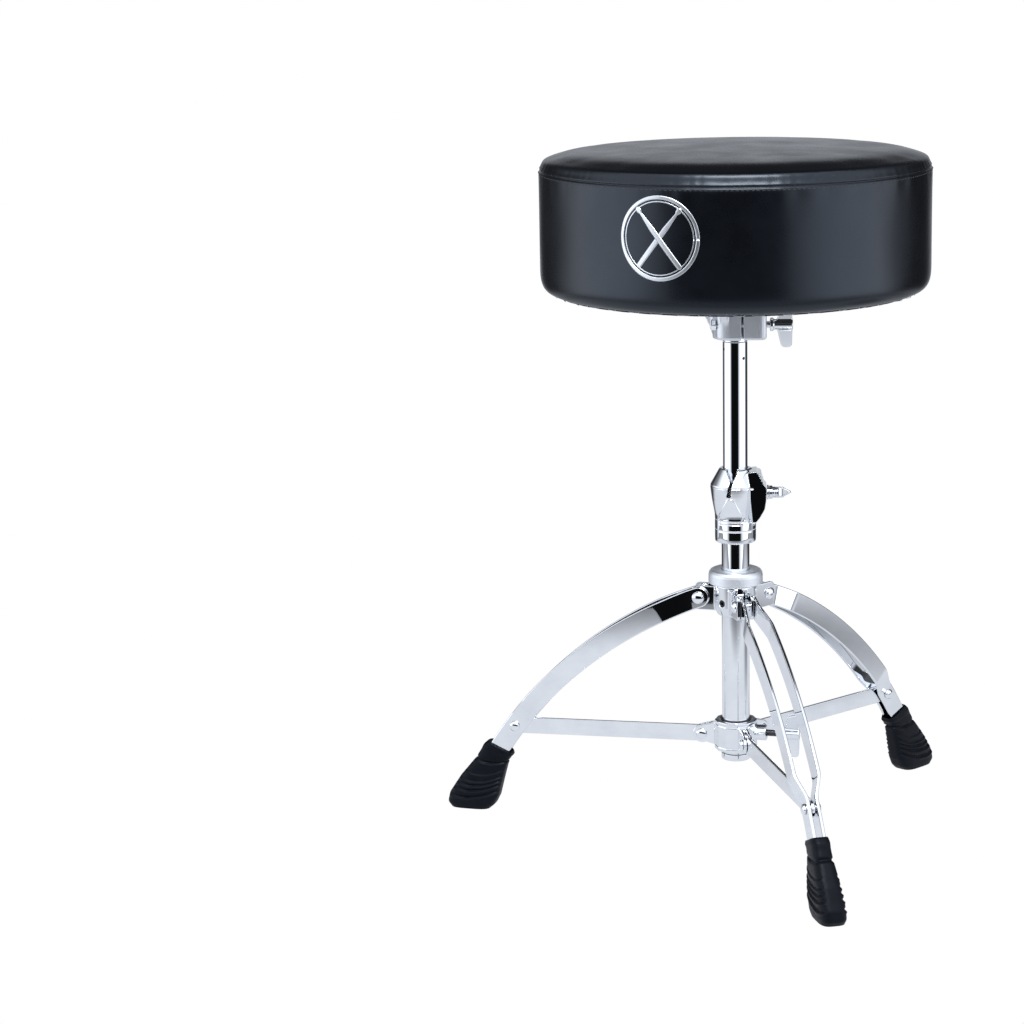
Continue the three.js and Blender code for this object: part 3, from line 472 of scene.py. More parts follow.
def lathe(profile, sides=96):
    """Turns (radius, z) points about the axis. Radius 0 at an end makes a pole there;
    otherwise the profile is a closed loop."""
    open_ended = profile[0][0] == 0
    rows = profile[1:-1] if open_ended else profile
    turns = np.arange(sides) * 2 * math.pi / sides
    points = [
        (radius * math.cos(turn), radius * math.sin(turn), z)
        for radius, z in rows
        for turn in turns
    ]
    faces = []
    last = len(rows) - (1 if open_ended else 0)
    for row in range(last):
        low, high = row * sides, ((row + 1) % len(rows)) * sides
        for i in range(sides):
            j = (i + 1) % sides
            faces.append((low + i, low + j, high + j, high + i))
    if open_ended:
        first, final = len(points), len(points) + 1
        points += [(0, 0, profile[0][1]), (0, 0, profile[-1][1])]
        end = (len(rows) - 1) * sides
        for i in range(sides):
            j = (i + 1) % sides
            faces.append((first, j, i))
            faces.append((final, end + i, end + j))
    return points, faces


def skin(rings, capped=True):
    """Joins rings of equal count. Capped ends get a fan to their middle point."""
    count = len(rings[0])
    points = [tuple(point) for ring in rings for point in ring]
    faces = []
    for row in range(len(rings) - 1):
        low = row * count
        for i in range(count):
            j = (i + 1) % count
            faces.append((low + i, low + j, low + count + j, low + count + i))
    if capped:
        for row, flip in ((0, True), (len(rings) - 1, False)):
            middle = len(points)
            points.append(tuple(np.mean(rings[row], axis=0)))
            for i in range(count):
                j = (i + 1) % count
                a, b = (j, i) if flip else (i, j)
                faces.append((row * count + a, row * count + b, middle))
    return points, faces


def put_together(*shapes):
    """One shape from several, each given as points and faces."""
    points, faces = [], []
    for more_points, more_faces in shapes:
        start = len(points)
        points += [tuple(point) for point in more_points]
        faces += [tuple(start + k for k in face) for face in more_faces]
    return points, faces


# ---------------------------------------------------------------- shapes from distances


def rounded(edge, *faces):
    """Distance to the solid inside every one of some square-on faces, with eased edges."""
    shifted = [face + edge for face in faces]
    outside = sum(np.maximum(face, 0) ** 2 for face in shifted)
    inside = shifted[0]
    for face in shifted[1:]:
        inside = np.maximum(inside, face)
    return np.sqrt(outside) + np.minimum(inside, 0) - edge


def join(first, second, fillet):
    """Both solids as one, with a fillet of about that size between them."""
    share = np.clip(0.5 + 0.5 * (second - first) / fillet, 0, 1)
    return second + (first - second) * share - fillet * share * (1 - share)


def cut(solid, tool, fillet=0.5):
    """The solid less the tool, with the cut's edges eased."""
    return -join(-solid, tool, fillet)


def outline_distance(corners, u, v):
    """Signed distance from (u, v) to a closed outline, negative inside."""
    nearest, inside = None, False
    for (u1, v1), (u2, v2) in zip(corners, [*corners[1:], corners[0]]):
        along_u, along_v = u2 - u1, v2 - v1
        from_u, from_v = u - u1, v - v1
        length = along_u ** 2 + along_v ** 2
        share = np.clip((from_u * along_u + from_v * along_v) / length, 0, 1)
        gap = (from_u - along_u * share) ** 2 + (from_v - along_v * share) ** 2
        nearest = gap if nearest is None else np.minimum(nearest, gap)
        if v1 != v2:
            crosses = ((v1 > v) != (v2 > v)) & (u < along_u * (v - v1) / along_v + u1)
            inside = inside ^ crosses
    return np.where(inside, -1, 1) * np.sqrt(nearest)


def seen_from(turn, x, y):
    """Coordinates along and across a direction from the column's axis."""
    cosine, sine = math.cos(turn), math.sin(turn)
    return x * cosine + y * sine, y * cosine - x * sine


def rod_along(along, a, b, start, stop, radius, edge=0.4):
    """A round rod: along is the coordinate on its axis, a and b are square to it."""
    middle, half = (start + stop) / 2, (stop - start) / 2
    return rounded(edge, np.hypot(a, b) - radius, abs(along - middle) - half)


def grow(distance, low, high, cell):
    """The zero surface of distance(x, y, z): points, quads and exact normals."""
    ticks = [np.arange(a - 2 * cell, b + 3 * cell, cell) for a, b in zip(low, high)]
    shape = tuple(len(tick) for tick in ticks)
    field = np.broadcast_to(distance(*np.meshgrid(*ticks, indexing="ij", sparse=True)), shape)
    inside = field < 0
    filled = np.zeros(tuple(size - 1 for size in shape), int)
    for i in (0, 1):
        for j in (0, 1):
            for k in (0, 1):
                filled += inside[i:shape[0] - 1 + i, j:shape[1] - 1 + j, k:shape[2] - 1 + k]
    mixed = (filled > 0) & (filled < 8)
    number = np.full(mixed.shape, -1)
    number[mixed] = np.arange(mixed.sum())
    origin = np.array([tick[0] for tick in ticks])
    points = origin + (np.argwhere(mixed) + 0.5) * cell
    quads = []
    for axis in range(3):
        start = np.moveaxis(inside, axis, 0)[:-1]
        stop = np.moveaxis(inside, axis, 0)[1:]
        crossings = np.argwhere(np.moveaxis(start != stop, 0, axis))
        leaving = inside[tuple(crossings.T)]
        second, third = (axis + 1) % 3, (axis + 2) % 3
        around = []
        for back_second, back_third in ((0, 0), (1, 0), (1, 1), (0, 1)):
            cells = crossings.copy()
            cells[:, second] -= back_second
            cells[:, third] -= back_third
            around.append(number[tuple(cells.T)])
        quad = np.column_stack(around)
        quad[~leaving] = quad[~leaving][:, ::-1]
        quads.append(quad)
    quads = np.vstack(quads)
    return relax(distance, points, quads, cell)


def slope(distance, points, step=0.02):
    """The gradient of a distance function."""
    columns = []
    for axis in range(3):
        ahead, behind = points.copy(), points.copy()
        ahead[:, axis] += step
        behind[:, axis] -= step
        columns.append((distance(*ahead.T) - distance(*behind.T)) / (2 * step))
    return np.column_stack(columns)


def relax(distance, points, quads, cell, rounds=4):
    """Evens out a grown mesh and pulls its points onto the true surface."""
    count = len(points)
    tied = np.bincount(quads.ravel(), minlength=count)
    for _ in range(rounds):
        middles = points[quads].mean(axis=1)
        mean = np.column_stack([
            np.bincount(quads.ravel(), np.repeat(middles[:, axis], 4), minlength=count)
            for axis in range(3)
        ]) / tied[:, None]
        points = points + 0.7 * (mean - points)
        for _ in range(2):
            gradient = slope(distance, points)
            steep = np.maximum((gradient ** 2).sum(axis=1), 0.25)
            step = (distance(*points.T) / steep)[:, None] * gradient
            length = np.linalg.norm(step, axis=1)[:, None]
            points = points - step * np.minimum(1, cell / np.maximum(length, 1e-9))
    normals = slope(distance, points)
    normals /= np.maximum(np.linalg.norm(normals, axis=1), 1e-9)[:, None]
    return points, quads.tolist(), normals


# ---------------------------------------------------------------- the cushion

SEAT_RADIUS = 173.6
SEAT_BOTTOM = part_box("seat_cushion")[0].z / MM
SEAT_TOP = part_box("seat_cushion")[1].z / MM
SEAM_HEIGHT = SEAT_TOP - 18.2
BOARD_RADIUS = 158.6
BOARD_TOP = SEAT_BOTTOM + 12.5
CROWN_DROP = 3.9
TOP_TILT = 2.7                       # how far the top rises at the front and sinks at the back
CUSHION_SIDES = 112
FRONT = -math.pi / 2                 # the direction that faces the front, from +X


def cushion_profile():
    """Underside, rolled bottom edge, side wall, seam, shoulder and crown."""
    wall = np.linspace(SEAT_BOTTOM + 20, SEAM_HEIGHT - 9, 10)
    return [
        (0, BOARD_TOP), (60, BOARD_TOP), (120, BOARD_TOP), (BOARD_RADIUS - 1, BOARD_TOP),
        (BOARD_RADIUS, BOARD_TOP - 1), (BOARD_RADIUS, SEAT_BOTTOM + 1),
        (BOARD_RADIUS + 1, SEAT_BOTTOM), (SEAT_RADIUS - 11, SEAT_BOTTOM),
        (SEAT_RADIUS - 6.5, SEAT_BOTTOM + 1.2), (SEAT_RADIUS - 3, SEAT_BOTTOM + 4.2),
        (SEAT_RADIUS - 1, SEAT_BOTTOM + 9), (SEAT_RADIUS - 0.2, SEAT_BOTTOM + 14),
        *[(SEAT_RADIUS, z) for z in wall],
        (SEAT_RADIUS, SEAM_HEIGHT - 5), (SEAT_RADIUS, SEAM_HEIGHT - 2.5),
        (SEAT_RADIUS - 0.1, SEAM_HEIGHT - 1), (SEAT_RADIUS - 0.2, SEAM_HEIGHT),
        (SEAT_RADIUS - 0.1, SEAM_HEIGHT + 1), (SEAT_RADIUS - 0.1, SEAM_HEIGHT + 3),
        (SEAT_RADIUS - 0.2, SEAM_HEIGHT + 5.4), (SEAT_RADIUS - 0.6, SEAM_HEIGHT + 7.6),
        (SEAT_RADIUS - 1.6, SEAM_HEIGHT + 9.2), (SEAT_RADIUS - 3.4, SEAM_HEIGHT + 10.4),
        (SEAT_RADIUS - 6.1, SEAM_HEIGHT + 11.1), (SEAT_RADIUS - 10, SEAM_HEIGHT + 11.4),
        *[(radius, crown_height(radius)) for radius in (154, 142, 126, 108, 90, 70, 50, 30, 15)],
        (0, crown_height(0)),
    ]


def crown_height(radius):
    """The top is a shallow dome that steepens towards its rim."""
    return SEAT_TOP - 3.2 - CROWN_DROP * (radius / 164) ** 1.8


def frozen(piece):
    """Replaces a piece's mesh with the result of its modifiers."""
    graph = bpy.context.evaluated_depsgraph_get()
    result = bpy.data.meshes.new_from_object(piece.evaluated_get(graph))
    piece.modifiers.clear()
    piece.data = result


def mesh_points(piece):
    points = np.empty(len(piece.data.vertices) * 3)
    piece.data.vertices.foreach_get("co", points)
    return (points.reshape(-1, 3) - np.array(AXIS)) / MM


def set_mesh_points(piece, points):
    piece.data.vertices.foreach_set("co", (points * MM + np.array(AXIS)).ravel())
    piece.data.update()


MOST_SWELL = 3.2
GATHER_SHARE = 0.16


def inflate(piece):
    """Foam pressure swells the cover between the board and the seam that hold it."""
    rest = mesh_points(piece)
    height = rest[:, 2]
    held = (height < SEAT_BOTTOM + 13) | (abs(height - SEAM_HEIGHT) < 1.2)
    pinned = piece.vertex_groups.new(name="held")
    pinned.add(np.flatnonzero(held).tolist(), 1.0, "REPLACE")
    cloth = piece.modifiers.new("cloth", "CLOTH")
    cloth.settings.vertex_group_mass = "held"
    cloth.settings.use_pressure = True
    cloth.settings.uniform_pressure_force = 4.0
    cloth.settings.effector_weights.gravity = 0.0
    cloth.settings.tension_stiffness = 25
    cloth.settings.compression_stiffness = 25
    cloth.settings.bending_stiffness = 4
    scene = bpy.context.scene
    for number in range(1, 21):
        scene.frame_set(number)
    frozen(piece)
    scene.frame_set(1)
    change = mesh_points(piece) - rest
    length = np.linalg.norm(change, axis=1)[:, None]
    capped = change * np.tanh(length / MOST_SWELL) * MOST_SWELL / np.maximum(length, 1e-6)
    set_mesh_points(piece, rest + taut(rest, capped))


def taut(rest, change):
    """Pulls the cover smooth round the seat, and leaves a trace of its gathers."""
    radius = np.maximum(np.hypot(rest[:, 0], rest[:, 1]), 1e-6)
    outward = (change[:, 0] * rest[:, 0] + change[:, 1] * rest[:, 1]) / radius
    ring = np.round(radius * 4) * 10000 + np.round(rest[:, 2] * 4)
    _, ring = np.unique(ring, return_inverse=True)
    count = np.bincount(ring)
    result = []
    for value in (outward, change[:, 2]):
        mean = (np.bincount(ring, value) / count)[ring]
        result.append(mean + GATHER_SHARE * (value - mean))
    return np.column_stack([
        result[0] * rest[:, 0] / radius, result[0] * rest[:, 1] / radius, result[1],
    ])


def ripple(turn, seed, count, low, high):
    """A repeatable uneven wave round the seat, from -1 to 1."""
    order = random.Random(seed)
    total = np.zeros_like(turn)
    for _ in range(count):
        cycles = order.randint(low, high)
        total += order.uniform(0.4, 1.0) * np.sin(cycles * turn + order.uniform(0, 2 * math.pi))
    return total / math.sqrt(count)


def crease(turn, height, at_turn, at_height, reach, lean, width):
    """One short slanting fold in the cover. Lengths are in millimetres."""
    across = (turn - at_turn + math.pi) % (2 * math.pi) - math.pi
    across = across * SEAT_RADIUS
    rise = height - at_height
    along = across * math.cos(lean) + rise * math.sin(lean)
    off = -across * math.sin(lean) + rise * math.cos(lean)
    return np.exp(-((along / reach) ** 2) - (off / width) ** 2)


def sew(piece):
    """Presses the seam into the swollen cover and gathers the panels beside it."""
    points = mesh_points(piece)
    radius = np.hypot(points[:, 0], points[:, 1])
    turn = np.arctan2(points[:, 1], points[:, 0])
    height = points[:, 2]
    outer = radius > SEAT_RADIUS - 30
    gap = height - SEAM_HEIGHT
    groove = 0.9 * np.exp(-((gap / 0.8) ** 2)) + 0.35 * np.exp(-((gap / 3.0) ** 2))
    gathers = ripple(turn, 5, 6, 60, 150) * 0.22 * np.exp(-abs(gap - 3) / 5)
    gathers += ripple(turn, 8, 5, 24, 60) * 0.20 * np.exp(-abs(gap + 6) / 10)
    drape = ripple(turn, 11, 5, 5, 16) * 0.35 * np.exp(-(((height - 560) / 38) ** 2))
    folds = np.zeros_like(turn)
    order = random.Random(21)
    for _ in range(7):
        at = FRONT + math.radians(order.uniform(20, 38))
        folds += 0.5 * crease(turn, height, at, SEAM_HEIGHT + order.uniform(4, 9),
                              order.uniform(3, 6), order.uniform(0.5, 1.0), 0.7)
    inward = np.where(outer, groove - gathers - drape + folds, 0)
    shrink = 1 - inward / np.maximum(radius, 1)
    tilt = TOP_TILT * points[:, 1] / SEAT_RADIUS * np.clip(gap / 8, 0, 1)
    points[:, 0] *= shrink
    points[:, 1] *= shrink
    points[:, 2] -= tilt
    set_mesh_points(piece, points)


def make_cushion():
    points, faces = lathe(cushion_profile(), CUSHION_SIDES)
    piece = make_mesh("seat_cushion_cover", points, faces, VINYL)
    inflate(piece)
    smooth = piece.modifiers.new("smooth", "SUBSURF")
    smooth.levels = smooth.render_levels = 2
    frozen(piece)
    sew(piece)
    settle(piece, "seat_cushion", weigh=False)
    return piece


def onto_wall(cushion, turn, height, proud):
    """The point that far proud of the cushion's side wall, and the wall's normal there."""
    outward = Vector((math.cos(turn), math.sin(turn), 0))
    start = AXIS + Vector((0, 0, height * MM)) + outward * 0.3
    _, where, normal, _ = cushion.ray_cast(start, -outward)
    return (where - AXIS) / MM + normal * proud, normal


def make_stitches(cushion):
    """Lock stitches just under the seam, each a short thread that dips at its ends."""
    count, length, radius, sides = 250, 3.0, 0.34, 6
    below = SEAM_HEIGHT - 2.6
    stitches = []
    for i in range(count):
        middle_turn = 2 * math.pi * i / count
        rings = []
        for share in (-1.0, -0.8, -0.35, 0.35, 0.8, 1.0):
            turn = middle_turn + share * length / 2 / SEAT_RADIUS
            lift = 0.28 - 0.5 * share ** 4
            centre, normal = onto_wall(cushion, turn, below, lift)
            thin = radius * math.sqrt(max(1 - share ** 6, 0.05))
            ring = []
            for k in range(sides):
                a = 2 * math.pi * k / sides
                ring.append(centre + normal * thin * math.cos(a) + Vector((0, 0, thin * math.sin(a))))
            rings.append(ring)
        stitches.append(skin(rings))
    piece = make_mesh("seat_stitches", *put_together(*stitches), THREAD)
    settle(piece, "seat_cushion", replaces=False, weigh=False)


BADGE_TURN = FRONT - math.radians(21.5)
BADGE_HEIGHT = 568.8
BADGE_RADIUS = 36.0


def stick_strip(tilt):
    """A drumstick's outline from butt to bead, as (across, up) pairs of edges."""
    stations = [(-32, 0.6), (-31, 1.9), (-29, 2.3), (10, 2.3), (23, 1.3), (26.4, 1.0),
                (27.6, 1.9), (29.6, 2.4), (31.6, 1.8), (32.6, 0.5)]
    along = np.linspace(stations[0][0], stations[-1][0], 60)
    half = np.interp(along, *zip(*stations))
    cosine, sine = math.cos(tilt), math.sin(tilt)
    left = [(s * cosine - h * sine, s * sine + h * cosine) for s, h in zip(along, half)]
    right = [(s * cosine + h * sine, s * sine - h * cosine) for s, h in zip(along, half)]
    return left, right


def ring_strip(outer, inner, count=144):
    turns = [2 * math.pi * i / count for i in range(count + 1)]
    return [[(r * math.cos(t), r * math.sin(t)) for t in turns] for r in (outer, inner)]


def make_badge(cushion):
    """A plain round drummer's badge: a double ring round two crossed sticks."""
    strips = [
        ring_strip(BADGE_RADIUS, BADGE_RADIUS - 3.2),
        ring_strip(BADGE_RADIUS - 4.6, BADGE_RADIUS - 5.5),
    ]
    strips += [stick_strip(math.radians(angle)) for angle in (52, 128)]
    points, faces = [], []
    for layer, (first, second) in enumerate(strips):
        start = len(points)
        proud = 0.18 + 0.12 * (layer == 3)
        lanes = 4
        for (u1, v1), (u2, v2) in zip(first, second):
            for lane in range(lanes + 1):
                share = lane / lanes
                u, v = u1 + (u2 - u1) * share, v1 + (v2 - v1) * share
                turn = BADGE_TURN + u / SEAT_RADIUS
                points.append(onto_wall(cushion, turn, BADGE_HEIGHT + v, proud)[0])
        for i in range(len(first) - 1):
            for lane in range(lanes):
                a = start + i * (lanes + 1) + lane
                faces.append((a, a + 1, a + lanes + 2, a + lanes + 1))
    piece = make_mesh("seat_badge", points, faces, SILVER)
    piece.data.validate()
    solid = piece.modifiers.new("thickness", "SOLIDIFY")
    solid.thickness = 0.0003
    solid.offset = 0.0
    settle(piece, "seat_cushion", replaces=False, weigh=False)


def make_staples():
    """Wire staples that hold the cover and the liner under the board."""
    count, half_span, wire = 44, 5.0, 0.45
    radius, height = BOARD_RADIUS + 5.0, SEAT_BOTTOM - 0.15
    staples = []
    order = random.Random(3)
    for i in range(count):
        turn = 2 * math.pi * (i + order.uniform(-0.2, 0.2)) / count
        lean = order.uniform(-0.25, 0.25)
        rings = []
        for share, rise in ((-1, 1.2), (-1, 0.2), (-0.86, -0.1), (0.86, -0.1), (1, 0.2), (1, 1.2)):
            ring = []
            for a, b in ((1, 1), (-1, 1), (-1, -1), (1, -1)):
                along = share * half_span + a * wire * 0.5 * (abs(share) == 1)
                out = radius + along * math.sin(lean) + b * wire * 0.6
                across = along * math.cos(lean)
                z = height + rise + (a * wire * 0.5 if abs(share) != 1 else 0)
                ring.append((out * math.cos(turn) - across * math.sin(turn),
                             out * math.sin(turn) + across * math.cos(turn), z))
            rings.append(ring)
        staples.append(skin(rings))
    piece = make_mesh("seat_staples", *put_together(*staples), SATIN)
    settle(piece, "seat_dust_cover", replaces=False)


# ---------------------------------------------------------------- seat bracket

FLANGE_LOW, FLANGE_HIGH = 497.7, 501.9
ARM_TURNS = [math.radians(degrees) for degrees in (-20, 70, 160, 250)]
BOLT_CIRCLE = 68
BOSS_RADIUS = 20
BOSS_LOW = 458.5
POST_RADIUS = 11.1
SEAT_CLAMP = (-17.2, 473.0)          # y and z of the pinch bolt
LUG_LOW_X, LUG_HIGH_X = -16.5, 28.0
LUG_PLAN = [                         # the pinch block seen from above, fuller at the front
    (-16.5, -6), (-16.5, -20), (-12.5, -24.2), (-6, -26.2), (1, -26.7), (28, -26.7), (28, -8), (10, -4),
]


def bracket_distance(x, y, z):
    """The cast bracket: boss, four arms, webs under three of them, and the split pinch block."""
    flange_middle, flange_half = (FLANGE_LOW + FLANGE_HIGH) / 2, (FLANGE_HIGH - FLANGE_LOW) / 2
    level = abs(z - flange_middle) - flange_half
    radius = np.hypot(x, y)
    boss_middle, boss_half = (BOSS_LOW + FLANGE_HIGH) / 2, (FLANGE_HIGH - BOSS_LOW) / 2
    solid = rounded(1.4, radius - BOSS_RADIUS, abs(z - boss_middle) - boss_half)
    for turn in ARM_TURNS:
        along, across = seen_from(turn, x, y)
        arm = np.hypot(along - np.clip(along, 0, BOLT_CIRCLE), across) - 9.5
        solid = join(solid, rounded(1.1, arm, level), 3.0)
    web = [(12, 500), (56, 500), (44, 494.5), (34, 486), (26, 474), (20.5, 461.5), (12, 461)]
    web = eased(web, 5, closed=True)
    for turn in ARM_TURNS[1:]:
        along, across = seen_from(turn, x, y)
        rib = rounded(1.0, outline_distance(web, along, z), abs(across) - 3.2)
        solid = join(solid, rib, 3.5)
    plan = eased(LUG_PLAN, 6, 5, closed=True)
    lug = rounded(2.4, outline_distance(plan, x, y), abs(z - 472.5) - 12.5)
    solid = join(solid, lug, 2.0)
    solid = cut(solid, radius - POST_RADIUS - 0.3, 0.6)
    slit = rounded(0.3, abs(x - 6.6) - 1.0, abs(y + 18.5) - 11.5, abs(z - 472) - 15)
    solid = cut(solid, slit, 0.4)
    bolt = np.hypot(y - SEAT_CLAMP[0], z - SEAT_CLAMP[1]) - 3.3
    solid = cut(solid, bolt, 0.5)
    for turn in ARM_TURNS:
        along, across = seen_from(turn, x, y)
        solid = cut(solid, np.hypot(along - BOLT_CIRCLE, across) - 4.0, 0.5)
    return solid


def make_bracket():
    reach = BOLT_CIRCLE + 10
    shape = grow(bracket_distance, (-reach, -reach, BOSS_LOW), (reach, reach, FLANGE_HIGH), 0.9)
    stand_in("seat_bracket", shape, SATIN)


# ---------------------------------------------------------------- fasteners


def hex_distance(x, y, z, width, low, high, edge):
    """A hexagonal prism whose corners are turned down to a cone, as on a bolt head."""
    flats = None
    for k in range(3):
        turn = math.radians(60 * k + 30)
        side = abs(x * math.cos(turn) + y * math.sin(turn)) - width
        flats = side if flats is None else np.maximum(flats, side)
    prism = rounded(edge, flats, abs(z - (low + high) / 2) - (high - low) / 2)
    cone = (np.hypot(x, y) * 0.5 - (z - low) * 0.866) - (width * 1.06) * 0.5
    return np.maximum(prism, cone)


def hex_bolt_distance(x, y, z):
    """A flanged bolt that stands on z = 0 with its head below."""
    head = hex_distance(x, y, z, 4.0, -4.4, -0.6, 0.25)
    radius = np.hypot(x, y)
    flange = rounded(0.35, radius - 5.8 - 0.35 * (z + 1.1), abs(z + 0.6) - 0.55)
    shank = rounded(0.5, radius - 2.95, abs(z - 7.4) - 7.6)
    thread = 0.16 * np.sin(z * 2 * math.pi) * (z > 0.6)
    return join(join(head, flange, 0.5), shank + thread, 0.4)


def rod_shape(length, radius, edge=0.5, dome=0.0, sides=40, thread=0.0):
    """A rod along +X from the origin, with an optional domed far end or screw thread."""
    profile = [(0, 0), (radius - edge, 0), (radius, edge)]
    if thread:
        pitch = 1.0
        turns = int((length - 2 * edge) / pitch)
        for k in range(turns):
            z = edge + k * pitch
            profile += [(radius, z + 0.15), (radius - thread, z + 0.5), (radius, z + 0.85)]
    profile += [(radius, length - edge), (radius - edge, length), (0, length + dome)]
    points, faces = lathe(profile, sides)
    points = np.array(points)
    return points[:, [2, 0, 1]], faces


def rivet_head(x, z, face, radius, height):
    """A domed head on a face at y = face, pointing away from y = 0."""
    dome = [(0, 0), (radius, 0)]
    for k in range(1, 9):
        a = math.radians(90 * k / 9)
        dome.append((radius * math.cos(a) ** 0.85, 0.35 + (height - 0.35) * math.sin(a)))
    dome.append((0, height))
    points, faces = lathe(dome, 36)
    points = np.array(points)
    side = 1 if face > 0 else -1
    turned = np.column_stack([points[:, 0] * side + x, points[:, 2] * side + face, points[:, 1] + z])
    flipped = [tuple(reversed(one)) for one in faces]
    return turned, flipped


def cross_pin(x, z, start, stop, radius):
    """A plain pin along Y."""
    points, faces = rod_shape(stop - start, radius, 0.1, sides=24)
    points = np.array(points)
    return np.column_stack([points[:, 1] + x, points[:, 0] + start, points[:, 2] + z]), [
        tuple(reversed(face)) for face in faces
    ]


WING_OUTLINE = eased([(5.2, 0), (10.2, 21.7), (19.4, 21.7), (19.9, 0)], 3.4, 6)
LEAF_OUTLINE = eased([(4.6, 0), (9.0, 21.7), (19.6, 21.7), (20.0, 0)], 4.5, 6)


def wing_distance(ribbed):
    """A wing nut: a stepped barrel along +X with two blades along Z. The ribbed kind has
    leaf-shaped blades, thick near the clamp and sharp at the free end."""

    def distance(x, y, z):
        barrel = rod_along(x, y, z, 0.0, 13.0 if ribbed else 20.0, 4.7, 0.8)
        foot = rod_along(x, y, z, 0.0, 3.2, 6.0, 0.7)
        body = join(barrel, foot, 1.0)
        up = abs(z)
        if ribbed:
            half = 4.7 - 0.5 * np.clip(x - 12, 0, 9) - 0.03 * up
            ribs = 1 - np.cos((x - 0.35 * up) * 2 * math.pi / 1.9)
            half = half - 0.28 * ribs * np.clip((x - 8) / 2, 0, 1)
        else:
            half = 2.0 - 0.035 * up
        outline = LEAF_OUTLINE if ribbed else WING_OUTLINE
        corners = [*outline, (outline[-1][0], -4), (outline[0][0], -4)]
        edge = 0.35 if ribbed else 0.9
        blade = rounded(edge, outline_distance(corners, x, up), abs(y) - half)
        body = join(body, blade, 1.5)
        return cut(body, np.maximum(np.hypot(y, z) - 3.3, x - 16), 0.4)

    return distance


def make_wing(node, ribbed, place_at, tilt, turn=0.0):
    points, faces, normals = grow(wing_distance(ribbed), (0, -6, -22), (20, 6, 22), 0.42)
    cosine, sine = math.cos(tilt), math.sin(tilt)

    def tilted(v):
        x, y, z = v.T
        return np.column_stack([x, y * cosine - z * sine, y * sine + z * cosine])

    stand_in(node, (tilted(points), faces, tilted(normals)), CHROME, turn, place_at)


def make_seat_fasteners():
    bolt = grow(hex_bolt_distance, (-6.4, -6.4, -4.4), (6.4, 6.4, 15), 0.4)
    for index, turn in enumerate(ARM_TURNS):
        shift = (BOLT_CIRCLE, 0, FLANGE_LOW - 0.3)
        stand_in(f"bracket_bolt_{index + 1}", bolt, CHROME, turn, shift)
    head_x = LUG_LOW_X - 0.3
    points, faces = rod_shape(LUG_HIGH_X + 18 - head_x, 3.0, 0.6, thread=0.35)

    def head_distance(x, y, z):
        return hex_distance(x, y, z, 4.5, -4.5, 0, 0.3)

    head = grow(head_distance, (-6, -6, -5), (6, 6, 0.5), 0.4)
    head_points = head[0][:, [2, 0, 1]]
    shape = put_together((points, faces), (head_points, head[1]))
    stand_in("seat_clamp_bolt", shape, CHROME, 0, (head_x, *SEAT_CLAMP))
    make_wing("seat_clamp_wing_nut", False, (LUG_HIGH_X + 3, *SEAT_CLAMP), math.radians(12))


# ---------------------------------------------------------------- post, tube and clamp

POST_LOW, POST_HIGH = 200.0, 455.4
TUBE_RADIUS = 12.7
TUBE_LOW, TUBE_HIGH = 72.3, 300.0
POST_PINS = [(math.radians(205), 449), (math.radians(-47), 441)]


def tube_shape(inner, outer, low, high, edge=0.4):
    corners = [(inner, low), (outer, low), (outer, high), (inner, high)]
    return lathe(eased(corners, edge, 3, closed=True), 128)


def make_post():
    stand_in("seat_post", tube_shape(9.9, POST_RADIUS, POST_LOW, POST_HIGH, 0.35), CHROME)
    spindle = eased([
        (0, POST_HIGH - 26), (9.6, POST_HIGH - 26), (9.6, POST_HIGH + 0.3),
        (POST_RADIUS, POST_HIGH + 0.3), (POST_RADIUS, 496), (0, 496),
    ], 0.6, 3)
    stand_in("seat_spindle", lathe(spindle, 128), CHROME)
    for index, (turn, z) in enumerate(POST_PINS):
        pin = rod_shape(POST_RADIUS + 0.15 - 6.5, 1.6, 0.3, dome=0.15, sides=24)
        stand_in(f"post_pin_{index + 1}", pin, DARK_STEEL, turn, (6.5, 0, z))


CLAMP_LOW, CLAMP_HIGH = 272.0, 340.0
CREASE_HEIGHT = 324.0
CLAMP_BOLT = (-16.5, 320.5)
CLAMP_PROFILE = [
    (0, 272), (17.6, 272), (18.5, 272.9), (18.7, 276), (18.7, 295), (18.9, 298), (19.5, 301.5),
    (20.4, 306), (21.3, 311), (22.0, 316), (22.5, 320), (22.9, 323.6), (22.5, 325.4),
    (14.3, 340), (0, 340),
]
EAR_OUTLINE = [
    (10.5, 339), (19.0, 340), (23, 337.5), (26, 327), (28, 325.5), (28, 314.5), (26.5, 305),
    (22, 297), (15.5, 289), (15, 296), (13.2, 314), (13.0, 325),
]
SLIT_OUTLINE = [
    (-8.6, 341), (2.6, 341), (0.9, 336), (-2.4, 329), (-3.9, 325), (-4.4, 318), (-7.5, 318),
    (-6.9, 324), (-5.0, 329), (-5.2, 333),
]
SHIELD_OUTLINE = [(-7.5, 315), (-1.5, 314.5), (7.5, 296.5), (5.0, 290), (-14, 290), (-15, 299)]
COLLAR_LOW, COLLAR_HIGH = 233, 246
COLLAR_REACH = 25
COLLAR_SCREW_TURN = math.radians(107.5)
COLLAR_SCREW_HEIGHT = 239.5
SCREW_HOLE_RADIUS = 3.3
CLAMP_BOLT_START = 17.0
CLAMP_EAR_END = 28
CLAMP_WASHER = 1.5                   # its thickness


